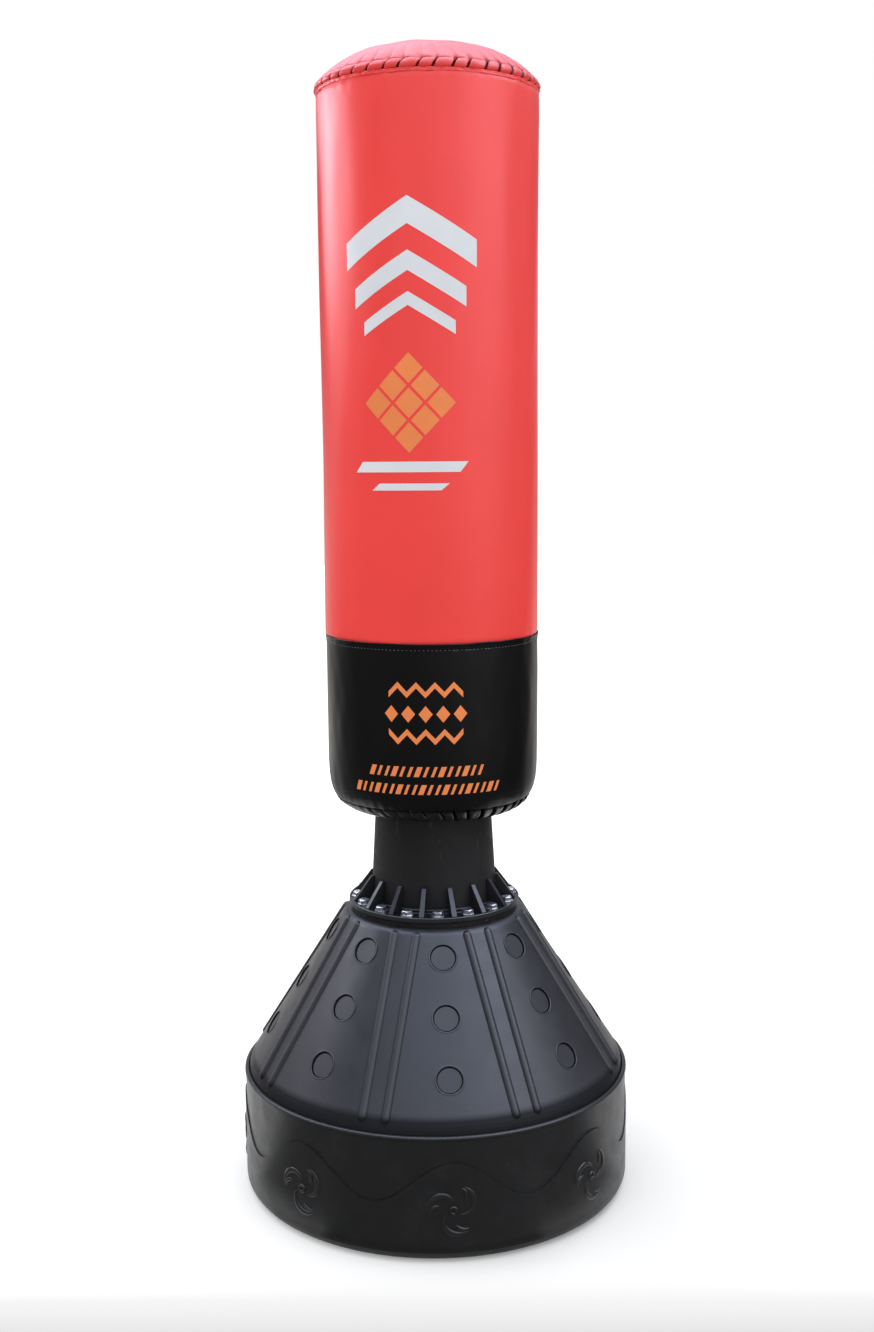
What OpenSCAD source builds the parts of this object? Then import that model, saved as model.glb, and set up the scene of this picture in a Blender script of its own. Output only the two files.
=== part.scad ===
// Free-standing punching bag: a ballast base with a domed cover, a flexible
// neck bolted down through a gusseted flange, and a long padded bag on top.
// +Z is up, the floor is z = 0 and the axis of the bag is the Z axis.

/* [Base tank] */
// Diameter of the tank wall above the wave line
drum_d = 608; // [560:1:660]
// Height of the tank rim above the floor
drum_h = 190; // [176:1:230]
// Thickness of the tank wall
drum_wall = 4.9; // [4:0.1:7]
// Thickness of the wall where the cover slides in
rim_wall = 4.2; // [3:0.1:6]
// Depth of the cover's spigot inside the tank rim
spigot_depth = 22; // [14:1:30]
// Rounding of the tank at the floor
edge_r = 20; // [12:1:30]
// Width of the ring that stands on the floor
foot_w = 24; // [16:1:36]
// Height of the underside panel above the floor
panel_lift = 12; // [9:1:18]
// Thickness of the underside panel
floor_t = 6.5; // [5.5:0.5:10]
// Number of waves round the tank
wave_count = 8; // [6:1:10]
// Mean height of the wave line
wave_mid = 120; // [90:1:125]
// Height of a crest above the mean height
wave_amp = 31; // [10:1:36]
// How far the band below the wave line stands out
band_rise = 2; // [1:0.1:4]
// How far the rim lip stands out
lip_out = 1.4; // [0.8:0.1:3]
// Height of the rim lip
lip_h = 6.4; // [5.8:0.1:9]
// Rounding of the rim lip's outer edge
lip_round = 3.4; // [1:0.1:3.6]
// Thickness of the seal between the tank and its cover
seal_t = 3; // [2:0.5:5]
// Width of the ledge that carries the seal
ledge_w = 4; // [3:0.5:6]
// Height of the ledge's upright edge
ledge_h = 5; // [4:0.5:8]
// Top of the sand ballast above the floor
ballast_z = 150; // [90:1:155]

/* [Suction cups] */
// Number of suction cups under the tank
cup_count = 8; // [4:1:10]
// Radius of the circle of cups
cup_circle_r = 190; // [140:1:220]
// Radius of one cup
cup_r = 33; // [24:1:40]
// Radius of the cup's stem
stem_r = 6; // [4:0.5:8]
// Radius of the button that holds the stem
button_r = 9; // [8.5:0.5:11]

/* [Base cover] */
// Height of the cover's top above the floor
cone_top_z = 442; // [415:1:470]
// Diameter where the cone's slope would meet the top
cone_top_d = 279; // [272:1:300]
// Height where the slope would meet the upright band
cone_foot_z = 193.8; // [193:0.1:200]
// Rounding of the upper shoulder
shoulder_r = 16; // [8:1:18]
// Rounding of the lower shoulder
foot_round_r = 50; // [24:1:54]
// Thickness of the cover's wall
cover_wall = 5; // [4:0.5:7]
// Thickness of the cover's top plate
plate_t = 9; // [6:0.5:14]
// Depth of the boss ring that holds the threaded inserts
boss_depth = 24; // [21:1:32]
// Number of panels round the cover
panel_count = 8; // [6:1:8]
// Radius of a raised rib
rib_r = 7.2; // [5:0.1:9]
// Depth of a rib's axis below the surface
rib_sink = 2.4; // [1:0.1:4]
// Distance between the two ribs of a pair
rib_pitch = 35; // [24:1:40]
// Height of the ribs' upper ends
rib_top_z = 434; // [405:1:436]
// Height of the ribs' lower ends
rib_low_z = 207.5; // [206:0.5:230]
// Diameter of a recessed disc
disc_d = 40; // [24:1:44]
// Depth of a recessed disc
disc_depth = 2.4; // [1.5:0.1:3]
// Height of the upper row of discs
disc_high_z = 407; // [395:1:410]
// Height of the middle row of discs
disc_mid_z = 331; // [315:1:340]
// Height of the lower row of discs
disc_low_z = 256; // [246:1:270]

/* [Filler port] */
// Bore radius of the filler neck
fill_bore_r = 20; // [15:0.5:22]
// Wall of the filler neck
fill_wall = 4; // [3:0.5:5]
// How far the filler neck stands out of the cover
fill_out = 13; // [11:0.5:16]
// Thickness of the cap's top and skirt
cap_wall = 4; // [3:0.5:6]
// Depth of the cap's skirt
cap_skirt = 11; // [8:0.5:11]
// Radius of the cap's grip ribs
grip_r = 1.8; // [1:0.1:2.5]
// Number of grip ribs
grip_count = 18; // [10:1:24]
// Thickness of the cap gasket
gasket_t = 2; // [1.5:0.1:3]

/* [Neck flange] */
// Outer diameter of the flange
flange_d = 269; // [266:1:272]
// Thickness of the flange
flange_t = 6.5; // [5:0.5:10]
// Height of the flange's raised rim
rim_h = 1.6; // [1:0.1:3]
// Width of the flange's raised rim
rim_w = 3; // [2:0.1:3.4]
// Thickness of the collar round the neck
collar_w = 5; // [3:0.5:6]
// Height of the collar above the flange
collar_h = 6; // [3:0.5:12]
// Number of gussets, and of bolts between them
gusset_count = 16; // [8:1:18]
// Turn of the bolt circle against the cover's panels
flange_turn = -1.9; // [-11:0.1:11]
// Thickness of a gusset at its toe
gusset_t = 7.6; // [5:0.1:9]
// Thickness of a gusset against the collar
gusset_in_t = 6.2; // [4:0.1:8]
// Height of a gusset above the flange
gusset_h = 39; // [28:0.5:46]
// Radius of a gusset's toe
gusset_toe_r = 129; // [124:0.5:130]
// Diameter of the bolt circle
bolt_circle_d = 240; // [238:0.5:241]
// Across-flats size of a bolt head
bolt_af = 16; // [14:0.5:17]
// Height of a bolt head
bolt_head_h = 6.5; // [5:0.5:8]
// Radius of a bolt shank
shank_r = 4.9; // [4:0.1:5.4]
// Length of a bolt shank
shank_l = 34; // [28:1:36]
// Radius of a washer
washer_r = 10.5; // [9.8:0.1:11]
// Thickness of a washer
washer_t = 2.2; // [1.5:0.1:3]
// Outer radius of a threaded insert
insert_r = 8; // [7.2:0.1:8.6]
// Length of a threaded insert
insert_l = 18; // [12:1:20]

/* [Neck] */
// Radius of the neck where it leaves the flange
neck_low_r = 99.2; // [95:0.1:100.2]
// Radius of the neck where it enters the bag
neck_high_r = 91; // [88:0.1:93]
// Wall of the neck
neck_wall = 12; // [8:0.5:18]
// Radius of the neck's foot disc
neck_foot_r = 130; // [128:0.5:131]
// Thickness of the neck's foot disc
neck_foot_t = 8.4; // [6:0.1:12]
// Radius of the spigot inside the bag's core
spigot_r = 87; // [82:0.5:87.5]
// Height of the spigot's top above the bag's lowest part
spigot_up = 158; // [138:1:240]

/* [Bag] */
// Diameter of the cover sleeve and the skirt
bag_d = 328; // [310:1:340]
// Height of the bag's lowest part
bag_low_z = 602; // [590:1:620]
// Height where the gathered bottom runs into the upright skirt
bag_round_h = 61; // [50:1:80]
// Height of the skirt's top edge
skirt_top_z = 880; // [840:1:920]
// Height of the sleeve's top seam
seam_z = 1678; // [1600:1:1720]
// Rise of the domed top above the seam
dome_rise = 70; // [55:1:85]
// Thickness of the leather
leather_t = 2.2; // [1.5:0.1:3]
// Radius of the padded roll round the top
roll_r = 3.2; // [2.5:0.1:4]
// Height of the skirt's folded binding
binding_h = 17; // [10:1:24]
// Thickness of the skirt's folded binding
binding_t = 1.1; // [0.8:0.1:1.6]
// Width of the lapped seam at the back
seam_w = 22; // [14:1:30]
// Wall of the core tube
core_wall = 5; // [3:0.5:8]
// Height of the core tube's top
core_top_z = 1650; // [1560:1:1660]
// Outer radius of the inner foam
inner_foam_r = 125; // [115:1:135]
// Radius of the drawcord in the hem
cord_r = 2.6; // [2:0.1:3.5]
// Thickness of the hem round the drawcord
hem_t = 1.5; // [1:0.1:2]
// Height of the ring of core screws above the bag's lowest part
screw_up = 98; // [84:1:100]
// Depth of the plug of the core's cap
core_plug_h = 20; // [14:1:26]
// Thickness of the head of the core's cap
core_head_h = 6; // [5:0.5:8]
// Number of core screws
screw_count = 6; // [3:1:8]

/* [Hidden] */
$fn = 96;

// Clearance between soft or moulded pieces that sit in one another
gap = 0.3;
// Clearance of a shank in a hole, and of an insert in its boss
hole_gap = 0.7;
insert_gap = 0.1;
// Clearance of the cap round the filler neck
cap_gap = 0.6;
// Steps in a rounded corner and in a curved outline
arc_n = 7;
curve_n = 14;

// Tank
drum_r = drum_d / 2;
rim_in_r = drum_r - rim_wall;
tank_r = drum_r - drum_wall;
ledge_z = drum_h - spigot_depth - seal_t;
floor_z = panel_lift + floor_t;
button_h = 2.8;

// Cover: slope of the cone, measured from the vertical
band_r = rim_in_r - gap;
corner_r = cone_top_d / 2;
beta = atan2(band_r - corner_r, cone_top_z - cone_foot_z);
function cone_r(z) = corner_r + (cone_top_z - z) * tan(beta);
spigot_z = drum_h - spigot_depth;

// Stack of the bolted neck joint
foot_z = cone_top_z + gap;
foot_top_z = foot_z + neck_foot_t;
flange_z = foot_top_z + gap;
flange_top_z = flange_z + flange_t;
washer_top_z = flange_top_z + washer_t;
bolt_circle_r = bolt_circle_d / 2;
collar_in_r = neck_low_r + gap;
gusset_step = 360 / gusset_count;

// Neck: radius at a height on the tapered part
function neck_r(z) =
    neck_low_r + (neck_high_r - neck_low_r) * (z - flange_top_z) / (bag_low_z - flange_top_z);
neck_shoulder_z = bag_low_z + 10;
core_low_z = neck_shoulder_z + 8;

// Bag
bag_r = bag_d / 2;
foam_r = bag_r - leather_t - gap;
hem_r = cord_r + gap + hem_t;
hem_ring_r = neck_high_r + 9;
hem_z = bag_low_z + hem_r;
round_c_r = hem_ring_r - 3;
core_in_r = spigot_r + gap;
core_out_r = core_in_r + core_wall;
dome_r = bag_r - 3.5;
sleeve_low_z = skirt_top_z - binding_h + 5;
sleeve_top_z = seam_z;
roll_z = seam_z + roll_r + gap;
roll_ring_r = dome_r + gap + roll_r;
pad_low_z = core_top_z + core_head_h;
screw_z = bag_low_z + screw_up;
spigot_top_z = bag_low_z + spigot_up;

// Points of an arc about c, from angle a to angle b
function arc(c, r, a, b, n = arc_n) =
    [for (i = [0 : n]) let (t = a + (b - a) * i / n) [c[0] + r * cos(t), c[1] + r * sin(t)]];
// Points of a quarter of an ellipse about c, from angle a to angle b
function oval(c, rx, ry, a, b, n = curve_n) =
    [for (i = [0 : n]) let (t = a + (b - a) * i / n) [c[0] + rx * cos(t), c[1] + ry * sin(t)]];

module ring(r_in, r_out, z_low, z_high) {
    rotate_extrude()
        translate([r_in, z_low]) square([r_out - r_in, z_high - z_low]);
}

// Puts children upright on the cone's slope at height z and azimuth az,
// with +Z along the outward normal
module on_cone(z, az) {
    rotate([0, 0, az])
        translate([0, -cone_r(z), z])
            rotate([90 - beta, 0, 0])
                children();
}

// ---- base tank ----
module tank_shell() {
    foot_out_r = drum_r + band_rise - edge_r;
    foot_in_r = foot_out_r - foot_w;
    rotate_extrude($fn = 192)
        polygon(concat(
            [[0, panel_lift], [foot_in_r - panel_lift * 0.5, panel_lift], [foot_in_r, 0]],
            arc([foot_out_r, edge_r], edge_r, -90, 0, 6),
            [[drum_r + band_rise, edge_r + 4], [drum_r, edge_r + 6],
             [drum_r, drum_h - lip_h], [drum_r + lip_out, drum_h - lip_h + lip_out]],
            arc([drum_r + lip_out - lip_round, drum_h - lip_round], lip_round, 0, 90, 5),
            [[rim_in_r, drum_h], [rim_in_r, ledge_z], [tank_r - ledge_w, ledge_z],
             [tank_r - ledge_w, ledge_z - ledge_h], [tank_r, ledge_z - ledge_h - ledge_w],
             [tank_r, floor_z + edge_r - 4]],
            arc([tank_r - edge_r + 4, floor_z + edge_r - 4], edge_r - 4, 0, -90, 5),
            [[0, floor_z]]));
}

// One trough of the wave line, cut straight in towards the axis
module wave_trough() {
    half = (drum_r + band_rise) * sin(180 / wave_count);
    rotate([90, 0, 0])
        linear_extrude(height = drum_r + band_rise + 5)
            polygon(concat(
                [for (i = [0 : 24]) let (t = -1 + i / 12)
                    [half * t, wave_mid - wave_amp * cos(180 * t)]],
                [[half, wave_mid + wave_amp + 8], [-half, wave_mid + wave_amp + 8]]));
}

module wave_band() {
    difference() {
        rotate_extrude($fn = 192)
            translate([drum_r - 1.5, edge_r + 2])
                square([band_rise + 1.5, wave_mid + wave_amp - 0.3 - edge_r - 2]);
        for (k = [0 : wave_count - 1])
            rotate([0, 0, 360 / wave_count * (k + 0.5)]) wave_trough();
    }
}

module base_drum() {
    color("#262628")
        difference() {
            union() {
                tank_shell();
                wave_band();
            }
            for (k = [0 : cup_count - 1])
                rotate([0, 0, 360 / cup_count * k])
                    translate([cup_circle_r, 0, 0]) {
                        cylinder(r = stem_r + gap, h = floor_z + 10);
                        translate([0, 0, floor_z - button_h - gap])
                            cylinder(r = button_r + gap, h = 20);
                    }
        }
}

module tank_seal() {
    color("#1b1b1c") ring(tank_r - ledge_w + 0.5, rim_in_r - 0.6, ledge_z, ledge_z + seal_t);
}

module ballast() {
    r = tank_r - gap;
    f = edge_r - 4;
    color("#b9a888")
        rotate_extrude($fn = 128)
            polygon(concat(
                [[0, floor_z + gap]],
                arc([r - f, floor_z + gap + f], f, -90, 0, 5),
                [[r, min(ballast_z, ledge_z - ledge_h - ledge_w - 2)],
                 [0, min(ballast_z, ledge_z - ledge_h - ledge_w - 2)]]));
}

module suction_cup() {
    top = panel_lift - gap;
    seat = floor_z - button_h;
    rotate_extrude($fn = 48)
        polygon([[0, top - 4], [cup_r * 0.45, top - 4.6], [cup_r - 3.4, 0.8], [cup_r - 2, 0],
                 [cup_r, 0], [cup_r - 0.6, 1.6], [cup_r * 0.5, top], [stem_r, top],
                 [stem_r, seat], [button_r, seat], [button_r, floor_z - gap],
                 [0, floor_z - gap]]);
}

module suction_cups() {
    color("#3a3a3a")
        for (k = [0 : cup_count - 1])
            rotate([0, 0, 360 / cup_count * k])
                translate([cup_circle_r, 0, 0]) suction_cup();
}

// ---- base cover ----
function shoulder_c(w, pt) = [
    corner_r + (pt * sin(beta) - w) / cos(beta)
        - (shoulder_r - w) * (1 - sin(beta)) / cos(beta),
    cone_top_z - pt - (shoulder_r - w)];
function foot_c(w) = [
    band_r - foot_round_r,
    cone_foot_z - foot_round_r * (1 - cos(beta)) / sin(beta)];

module cover_shell() {
    boss_in_r = bolt_circle_r - insert_r - 3;
    boss_out_r = bolt_circle_r + insert_r + 3;
    in_plate = cone_top_z - plate_t;
    rotate_extrude($fn = 192)
        polygon(concat(
            [[0, cone_top_z]],
            arc(shoulder_c(0, 0), shoulder_r, 90, beta, 6),
            arc(foot_c(0), foot_round_r, beta, 0, 5),
            [[band_r, spigot_z], [band_r - cover_wall, spigot_z]],
            arc(foot_c(0), foot_round_r - cover_wall, 0, beta, 5),
            [[shoulder_c(cover_wall, plate_t)[0] + (shoulder_r - cover_wall) * cos(beta),
              shoulder_c(cover_wall, plate_t)[1] + (shoulder_r - cover_wall) * sin(beta)],
             [shoulder_c(cover_wall, plate_t)[0], in_plate],
             [boss_out_r, in_plate], [boss_out_r, cone_top_z - boss_depth],
             [boss_in_r, cone_top_z - boss_depth], [boss_in_r, in_plate], [0, in_plate]]));
}

// A round-ended rib lying along the slope, at a sideways offset from azimuth az
module cone_rib(az, side) {
    ct = cos(beta);
    st = sin(beta);
    xt = sqrt(pow(cone_r(rib_top_z), 2) - side * side) - rib_sink * ct;
    xb = sqrt(pow(cone_r(rib_low_z), 2) - side * side) - rib_sink * ct;
    zt = rib_top_z - rib_sink * st;
    zb = rib_low_z - rib_sink * st;
    l = sqrt(pow(xb - xt, 2) + pow(zt - zb, 2));
    rotate([0, 0, az])
        translate([side, -xb, zb])
            rotate([-atan2(xb - xt, zt - zb), 0, 0])
                rotate_extrude($fn = 40)
                    polygon(concat(arc([0, 0], rib_r, -90, 0, 6), arc([0, l], rib_r, 0, 90, 6)));
}

module base_cone() {
    panel = 360 / panel_count;
    color("#4a4e57")
        difference() {
            union() {
                cover_shell();
                for (k = [0 : panel_count - 1]) {
                    cone_rib(panel * (k + 0.5), rib_pitch / 2);
                    cone_rib(panel * (k + 0.5), -rib_pitch / 2);
                }
                on_cone(disc_mid_z, 180)
                    translate([0, 0, 1.5 - cover_wall])
                        cylinder(r = fill_bore_r + fill_wall + 6, h = cover_wall + 1);
            }
            for (k = [0 : panel_count - 1], z = [disc_high_z, disc_mid_z, disc_low_z])
                if (z != disc_mid_z || k * panel != 180)
                    on_cone(z, panel * k)
                        translate([0, 0, -disc_depth]) cylinder(d = disc_d, h = 12, $fn = 64);
            on_cone(disc_mid_z, 180)
                translate([0, 0, -20]) cylinder(r = fill_bore_r + fill_wall + gap, h = 40);
            for (k = [0 : gusset_count - 1])
                rotate([0, 0, flange_turn + gusset_step * k])
                    translate([0, -bolt_circle_r, cone_top_z - insert_l - 2])
                        cylinder(r = insert_r + insert_gap, h = insert_l + 10, $fn = 48);
        }
}

// ---- filler port ----
module filler_neck() {
    color("#303033")
        on_cone(disc_mid_z, 180)
            difference() {
                union() {
                    translate([0, 0, -cover_wall - 3])
                        cylinder(r = fill_bore_r + fill_wall, h = fill_out + cover_wall + 3);
                    translate([0, 0, -cover_wall - 3 - gap - 3])
                        cylinder(r = fill_bore_r + fill_wall + 3, h = 3);
                    translate([0, 0, -cover_wall - 3 - gap - 0.1])
                        cylinder(r = fill_bore_r + fill_wall, h = 1);
                }
                translate([0, 0, -30]) cylinder(r = fill_bore_r, h = 60);
            }
}

module cap_gasket() {
    color("#171717")
        on_cone(disc_mid_z, 180)
            translate([0, 0, fill_out + gap])
                difference() {
                    cylinder(r = fill_bore_r + fill_wall - 0.3, h = gasket_t);
                    translate([0, 0, -1]) cylinder(r = fill_bore_r + 0.6, h = gasket_t + 2);
                }
}

module filler_cap() {
    in_r = fill_bore_r + fill_wall + cap_gap;
    out_r = in_r + cap_wall;
    top_z = fill_out + gap + gasket_t + gap;
    color("#1d1d1f")
        on_cone(disc_mid_z, 180)
            difference() {
                union() {
                    translate([0, 0, top_z - cap_skirt])
                        rotate_extrude($fn = 72)
                            polygon([[0, 0], [out_r, 0], [out_r, cap_skirt + cap_wall - 1.5],
                                     [out_r - 1.5, cap_skirt + cap_wall], [0, cap_skirt + cap_wall]]);
                    for (k = [0 : grip_count - 1])
                        rotate([0, 0, 360 / grip_count * k])
                            translate([out_r, 0, top_z - cap_skirt + 1])
                                cylinder(r = grip_r, h = cap_skirt + cap_wall - 3.5, $fn = 20);
                }
                translate([0, 0, top_z - cap_skirt - 1])
                    cylinder(r = in_r, h = cap_skirt + 1);
            }
}

// ---- neck flange: rim, collar, gussets and bolt holes in one moulding ----
module gusset() {
    top = flange_top_z + gusset_h;
    intersection() {
        rotate([90, 0, 90])
            translate([0, 0, -gusset_t / 2 - 1])
                linear_extrude(height = gusset_t + 2)
                    polygon([
                        [-neck_r(flange_top_z + 2) - gap - 1, flange_top_z - 1],
                        [-neck_r(flange_top_z + 2) - gap - 1, flange_top_z + collar_h - 1],
                        [-neck_r(flange_top_z + collar_h) - gap - 0.4, flange_top_z + collar_h + 1],
                        [-neck_r(top) - gap - 0.4, top - 0.5],
                        [-neck_r(top) - gap - 1.2, top],
                        [-neck_r(top) - gap - 3.2, top],
                        [-neck_r(top) - gap - 4.4, top - 1],
                        [-gusset_toe_r + 2.6, flange_top_z + 5],
                        [-gusset_toe_r, flange_top_z + 1.6],
                        [-gusset_toe_r, flange_top_z - 1]]);
        translate([0, 0, flange_top_z - 2])
            linear_extrude(height = gusset_h + 4)
                polygon([[-gusset_in_t / 2, 8 - neck_low_r], [-gusset_t / 2, -gusset_toe_r - 2],
                         [gusset_t / 2, -gusset_toe_r - 2], [gusset_in_t / 2, 8 - neck_low_r]]);
    }
}

module neck_flange() {
    out_r = flange_d / 2;
    color("#3a3d44")
        difference() {
            union() {
                rotate_extrude($fn = 144)
                    polygon([
                        [collar_in_r, flange_z], [out_r - 1.5, flange_z], [out_r, flange_z + 1.5],
                        [out_r, flange_top_z + rim_h - 1], [out_r - 1, flange_top_z + rim_h],
                        [out_r - rim_w + 0.8, flange_top_z + rim_h],
                        [out_r - rim_w - 0.2, flange_top_z],
                        [collar_in_r + collar_w + 0.8, flange_top_z],
                        [collar_in_r + collar_w, flange_top_z + 0.8],
                        [collar_in_r + collar_w, flange_top_z + collar_h - 1],
                        [collar_in_r + collar_w - 1, flange_top_z + collar_h],
                        [collar_in_r, flange_top_z + collar_h]]);
                for (k = [0 : gusset_count - 1])
                    rotate([0, 0, flange_turn + gusset_step * (k + 0.5)]) gusset();
            }
            for (k = [0 : gusset_count - 1])
                rotate([0, 0, flange_turn + gusset_step * k])
                    translate([0, -bolt_circle_r, flange_z - 5])
                        cylinder(r = shank_r + hole_gap, h = flange_t + 10, $fn = 40);
        }
}

module flange_washers() {
    color("#d9dadd")
        for (k = [0 : gusset_count - 1])
            rotate([0, 0, flange_turn + gusset_step * k])
                translate([0, -bolt_circle_r, flange_top_z])
                    difference() {
                        cylinder(r = washer_r, h = washer_t, $fn = 48);
                        translate([0, 0, -1])
                            cylinder(r = shank_r + hole_gap, h = washer_t + 2, $fn = 40);
                    }
}

module flange_bolt(turn) {
    head_r = bolt_af / 2 / cos(30);
    rotate([0, 0, turn])
        intersection() {
            cylinder(r = head_r, h = bolt_head_h, $fn = 6);
            rotate_extrude($fn = 48)
                polygon([[0, 0], [head_r + 1, 0], [head_r + 1, bolt_head_h - 2.4],
                         [bolt_af / 2 - 0.9, bolt_head_h], [0, bolt_head_h]]);
        }
    translate([0, 0, -shank_l]) cylinder(r = shank_r, h = shank_l + 1, $fn = 40);
}

module flange_bolts() {
    color("#c9cbd0")
        for (k = [0 : gusset_count - 1])
            rotate([0, 0, flange_turn + gusset_step * k])
                translate([0, -bolt_circle_r, washer_top_z]) flange_bolt(k * 23);
}

module threaded_inserts() {
    color("#b08d4a")
        for (k = [0 : gusset_count - 1])
            rotate([0, 0, flange_turn + gusset_step * k])
                translate([0, -bolt_circle_r, cone_top_z - insert_l - 1])
                    difference() {
                        cylinder(r = insert_r, h = insert_l, $fn = 48);
                        translate([0, 0, -1])
                            cylinder(r = shank_r + insert_gap, h = insert_l + 2, $fn = 40);
                    }
}

// ---- neck ----
module neck_column() {
    in_low = neck_low_r - neck_wall;
    in_high = spigot_r - neck_wall;
    color("#2a2827")
        difference() {
            rotate_extrude($fn = 144)
                polygon([
                    [in_low, foot_z], [neck_foot_r, foot_z], [neck_foot_r, foot_top_z],
                    [neck_low_r, foot_top_z], [neck_low_r, flange_top_z],
                    [neck_r(neck_shoulder_z), neck_shoulder_z],
                    [spigot_r, neck_shoulder_z + 4], [spigot_r, spigot_top_z],
                    [in_high, spigot_top_z], [in_high, neck_shoulder_z]]);
            for (k = [0 : gusset_count - 1])
                rotate([0, 0, flange_turn + gusset_step * k])
                    translate([0, -bolt_circle_r, foot_z - 5])
                        cylinder(r = shank_r + hole_gap, h = neck_foot_t + 10, $fn = 40);
            for (k = [0 : screw_count - 1])
                rotate([0, 0, 360 / screw_count * k])
                    translate([0, 0, screw_z]) rotate([90, 0, 0])
                        cylinder(r = 4 + gap, h = spigot_r + 10, $fn = 40);
        }
}

// ---- bag ----
module core_tube() {
    color("#5b5e63")
        difference() {
            ring(core_in_r, core_out_r, core_low_z, core_top_z);
            for (k = [0 : screw_count - 1])
                rotate([0, 0, 360 / screw_count * k])
                    translate([0, 0, screw_z]) rotate([90, 0, 0]) {
                        cylinder(r = 4 + gap, h = core_out_r + 10, $fn = 40);
                        translate([0, 0, core_out_r - 3 - gap])
                            cylinder(r = 8 + gap, h = 20, $fn = 40);
                    }
        }
}

module core_screws() {
    color("#9a9da3")
        for (k = [0 : screw_count - 1])
            rotate([0, 0, 360 / screw_count * k])
                translate([0, 0, screw_z]) rotate([90, 0, 0]) {
                    translate([0, 0, spigot_r - neck_wall - 4])
                        cylinder(r = 4, h = core_out_r - spigot_r + neck_wall + 2, $fn = 40);
                    translate([0, 0, core_out_r - 3])
                        cylinder(r = 8, h = 2.5, $fn = 40);
                }
}

module core_cap() {
    color("#3c3e42")
        rotate_extrude($fn = 96)
            polygon([[0, core_top_z - core_plug_h], [core_in_r - gap - 5, core_top_z - core_plug_h],
                     [core_in_r - gap, core_top_z - core_plug_h + 4], [core_in_r - gap, core_top_z],
                     [core_out_r, core_top_z], [core_out_r, pad_low_z - 2],
                     [core_out_r - 2, pad_low_z - gap], [0, pad_low_z - gap]]);
}

module inner_foam() {
    color("#e9e6dc") ring(core_out_r + gap, inner_foam_r, core_low_z, pad_low_z - gap);
}

// Height of the gathered bottom's inner face at radius r
function under_z(r) =
    bag_low_z + bag_round_h - (bag_round_h - leather_t - gap)
        * sqrt(max(0, 1 - pow((r - round_c_r) / (foam_r - round_c_r), 2)));

module outer_foam() {
    r0 = inner_foam_r + gap;
    color("#dcd8cc")
        rotate_extrude($fn = 144)
            polygon(concat(
                [for (i = [0 : curve_n])
                    let (r = r0 + (foam_r - r0) * sin(90 * i / curve_n)) [r, under_z(r)]],
                [[foam_r, pad_low_z - gap], [r0, pad_low_z - gap]]));
}

module top_foam() {
    color("#e9e6dc")
        rotate_extrude($fn = 144)
            polygon(concat(
                [[0, pad_low_z], [dome_r - leather_t - gap, pad_low_z]],
                oval([0, seam_z], dome_r - leather_t - gap, dome_rise - leather_t - gap, 0, 89),
                [[0, seam_z + dome_rise - leather_t - gap]]));
}

module cover_sleeve() {
    color("#e2443e") ring(bag_r - leather_t, bag_r, sleeve_low_z, sleeve_top_z);
}

module cover_dome() {
    color("#e2443e")
        rotate_extrude($fn = 144)
            polygon(concat(
                [[dome_r - leather_t, seam_z], [dome_r, seam_z]],
                oval([0, seam_z], dome_r, dome_rise, 3, 89),
                [[0, seam_z + dome_rise], [0, seam_z + dome_rise - leather_t]],
                oval([0, seam_z], dome_r - leather_t, dome_rise - leather_t, 89, 3)));
}

module top_roll() {
    color("#e2443e")
        rotate_extrude($fn = 144)
            translate([roll_ring_r, roll_z]) circle(r = roll_r, $fn = 32);
}

module skirt() {
    c = [round_c_r, bag_low_z + bag_round_h];
    w = leather_t;
    edge_r0 = hem_ring_r + sqrt(pow(hem_r + gap, 2) - pow(hem_r - w, 2)) + gap;
    a0 = -acos((edge_r0 - c[0]) / (bag_r - c[0]));
    color("#1f1f21")
        rotate_extrude($fn = 144)
            polygon(concat(
                oval(c, bag_r - c[0], bag_round_h, a0, 0),
                [[bag_r, sleeve_low_z - gap], [bag_r - w, sleeve_low_z - gap]],
                oval(c, bag_r - c[0] - w, bag_round_h - w, 0, a0)));
}

module skirt_binding() {
    color("#232325")
        rotate_extrude($fn = 144)
            polygon([[bag_r + gap, skirt_top_z - binding_h],
                     [bag_r + gap + binding_t, skirt_top_z - binding_h + 0.6],
                     [bag_r + gap + binding_t, skirt_top_z - 0.5],
                     [bag_r + gap + binding_t - 0.5, skirt_top_z],
                     [bag_r + gap, skirt_top_z]]);
}

module skirt_hem() {
    color("#1f1f21")
        rotate_extrude($fn = 120)
            translate([hem_ring_r, hem_z])
                difference() {
                    circle(r = hem_r, $fn = 32);
                    circle(r = hem_r - hem_t, $fn = 32);
                }
}

module hem_drawcord() {
    color("#101010")
        rotate_extrude($fn = 120)
            translate([hem_ring_r, hem_z]) circle(r = cord_r, $fn = 24);
}

// A strip of leather lapped over a joint at the back of the bag
module back_strip(z_low, z_high) {
    intersection() {
        ring(bag_r + gap, bag_r + gap + 0.9, z_low, z_high);
        translate([-seam_w / 2, 0, z_low - 1]) cube([seam_w, bag_r + 10, z_high - z_low + 2]);
    }
}

module sleeve_back_seam() {
    color("#d83c37") back_strip(skirt_top_z + gap, sleeve_top_z - 2);
}

module skirt_back_seam() {
    color("#232325") back_strip(bag_low_z + bag_round_h, skirt_top_z - binding_h - gap);
}

base_drum();
tank_seal();
ballast();
suction_cups();
base_cone();
filler_neck();
cap_gasket();
filler_cap();
neck_flange();
flange_washers();
flange_bolts();
threaded_inserts();
neck_column();
core_tube();
core_screws();
core_cap();
inner_foam();
outer_foam();
top_foam();
cover_sleeve();
cover_dome();
top_roll();
skirt();
skirt_binding();
skirt_hem();
hem_drawcord();
sleeve_back_seam();
skirt_back_seam();
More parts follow.
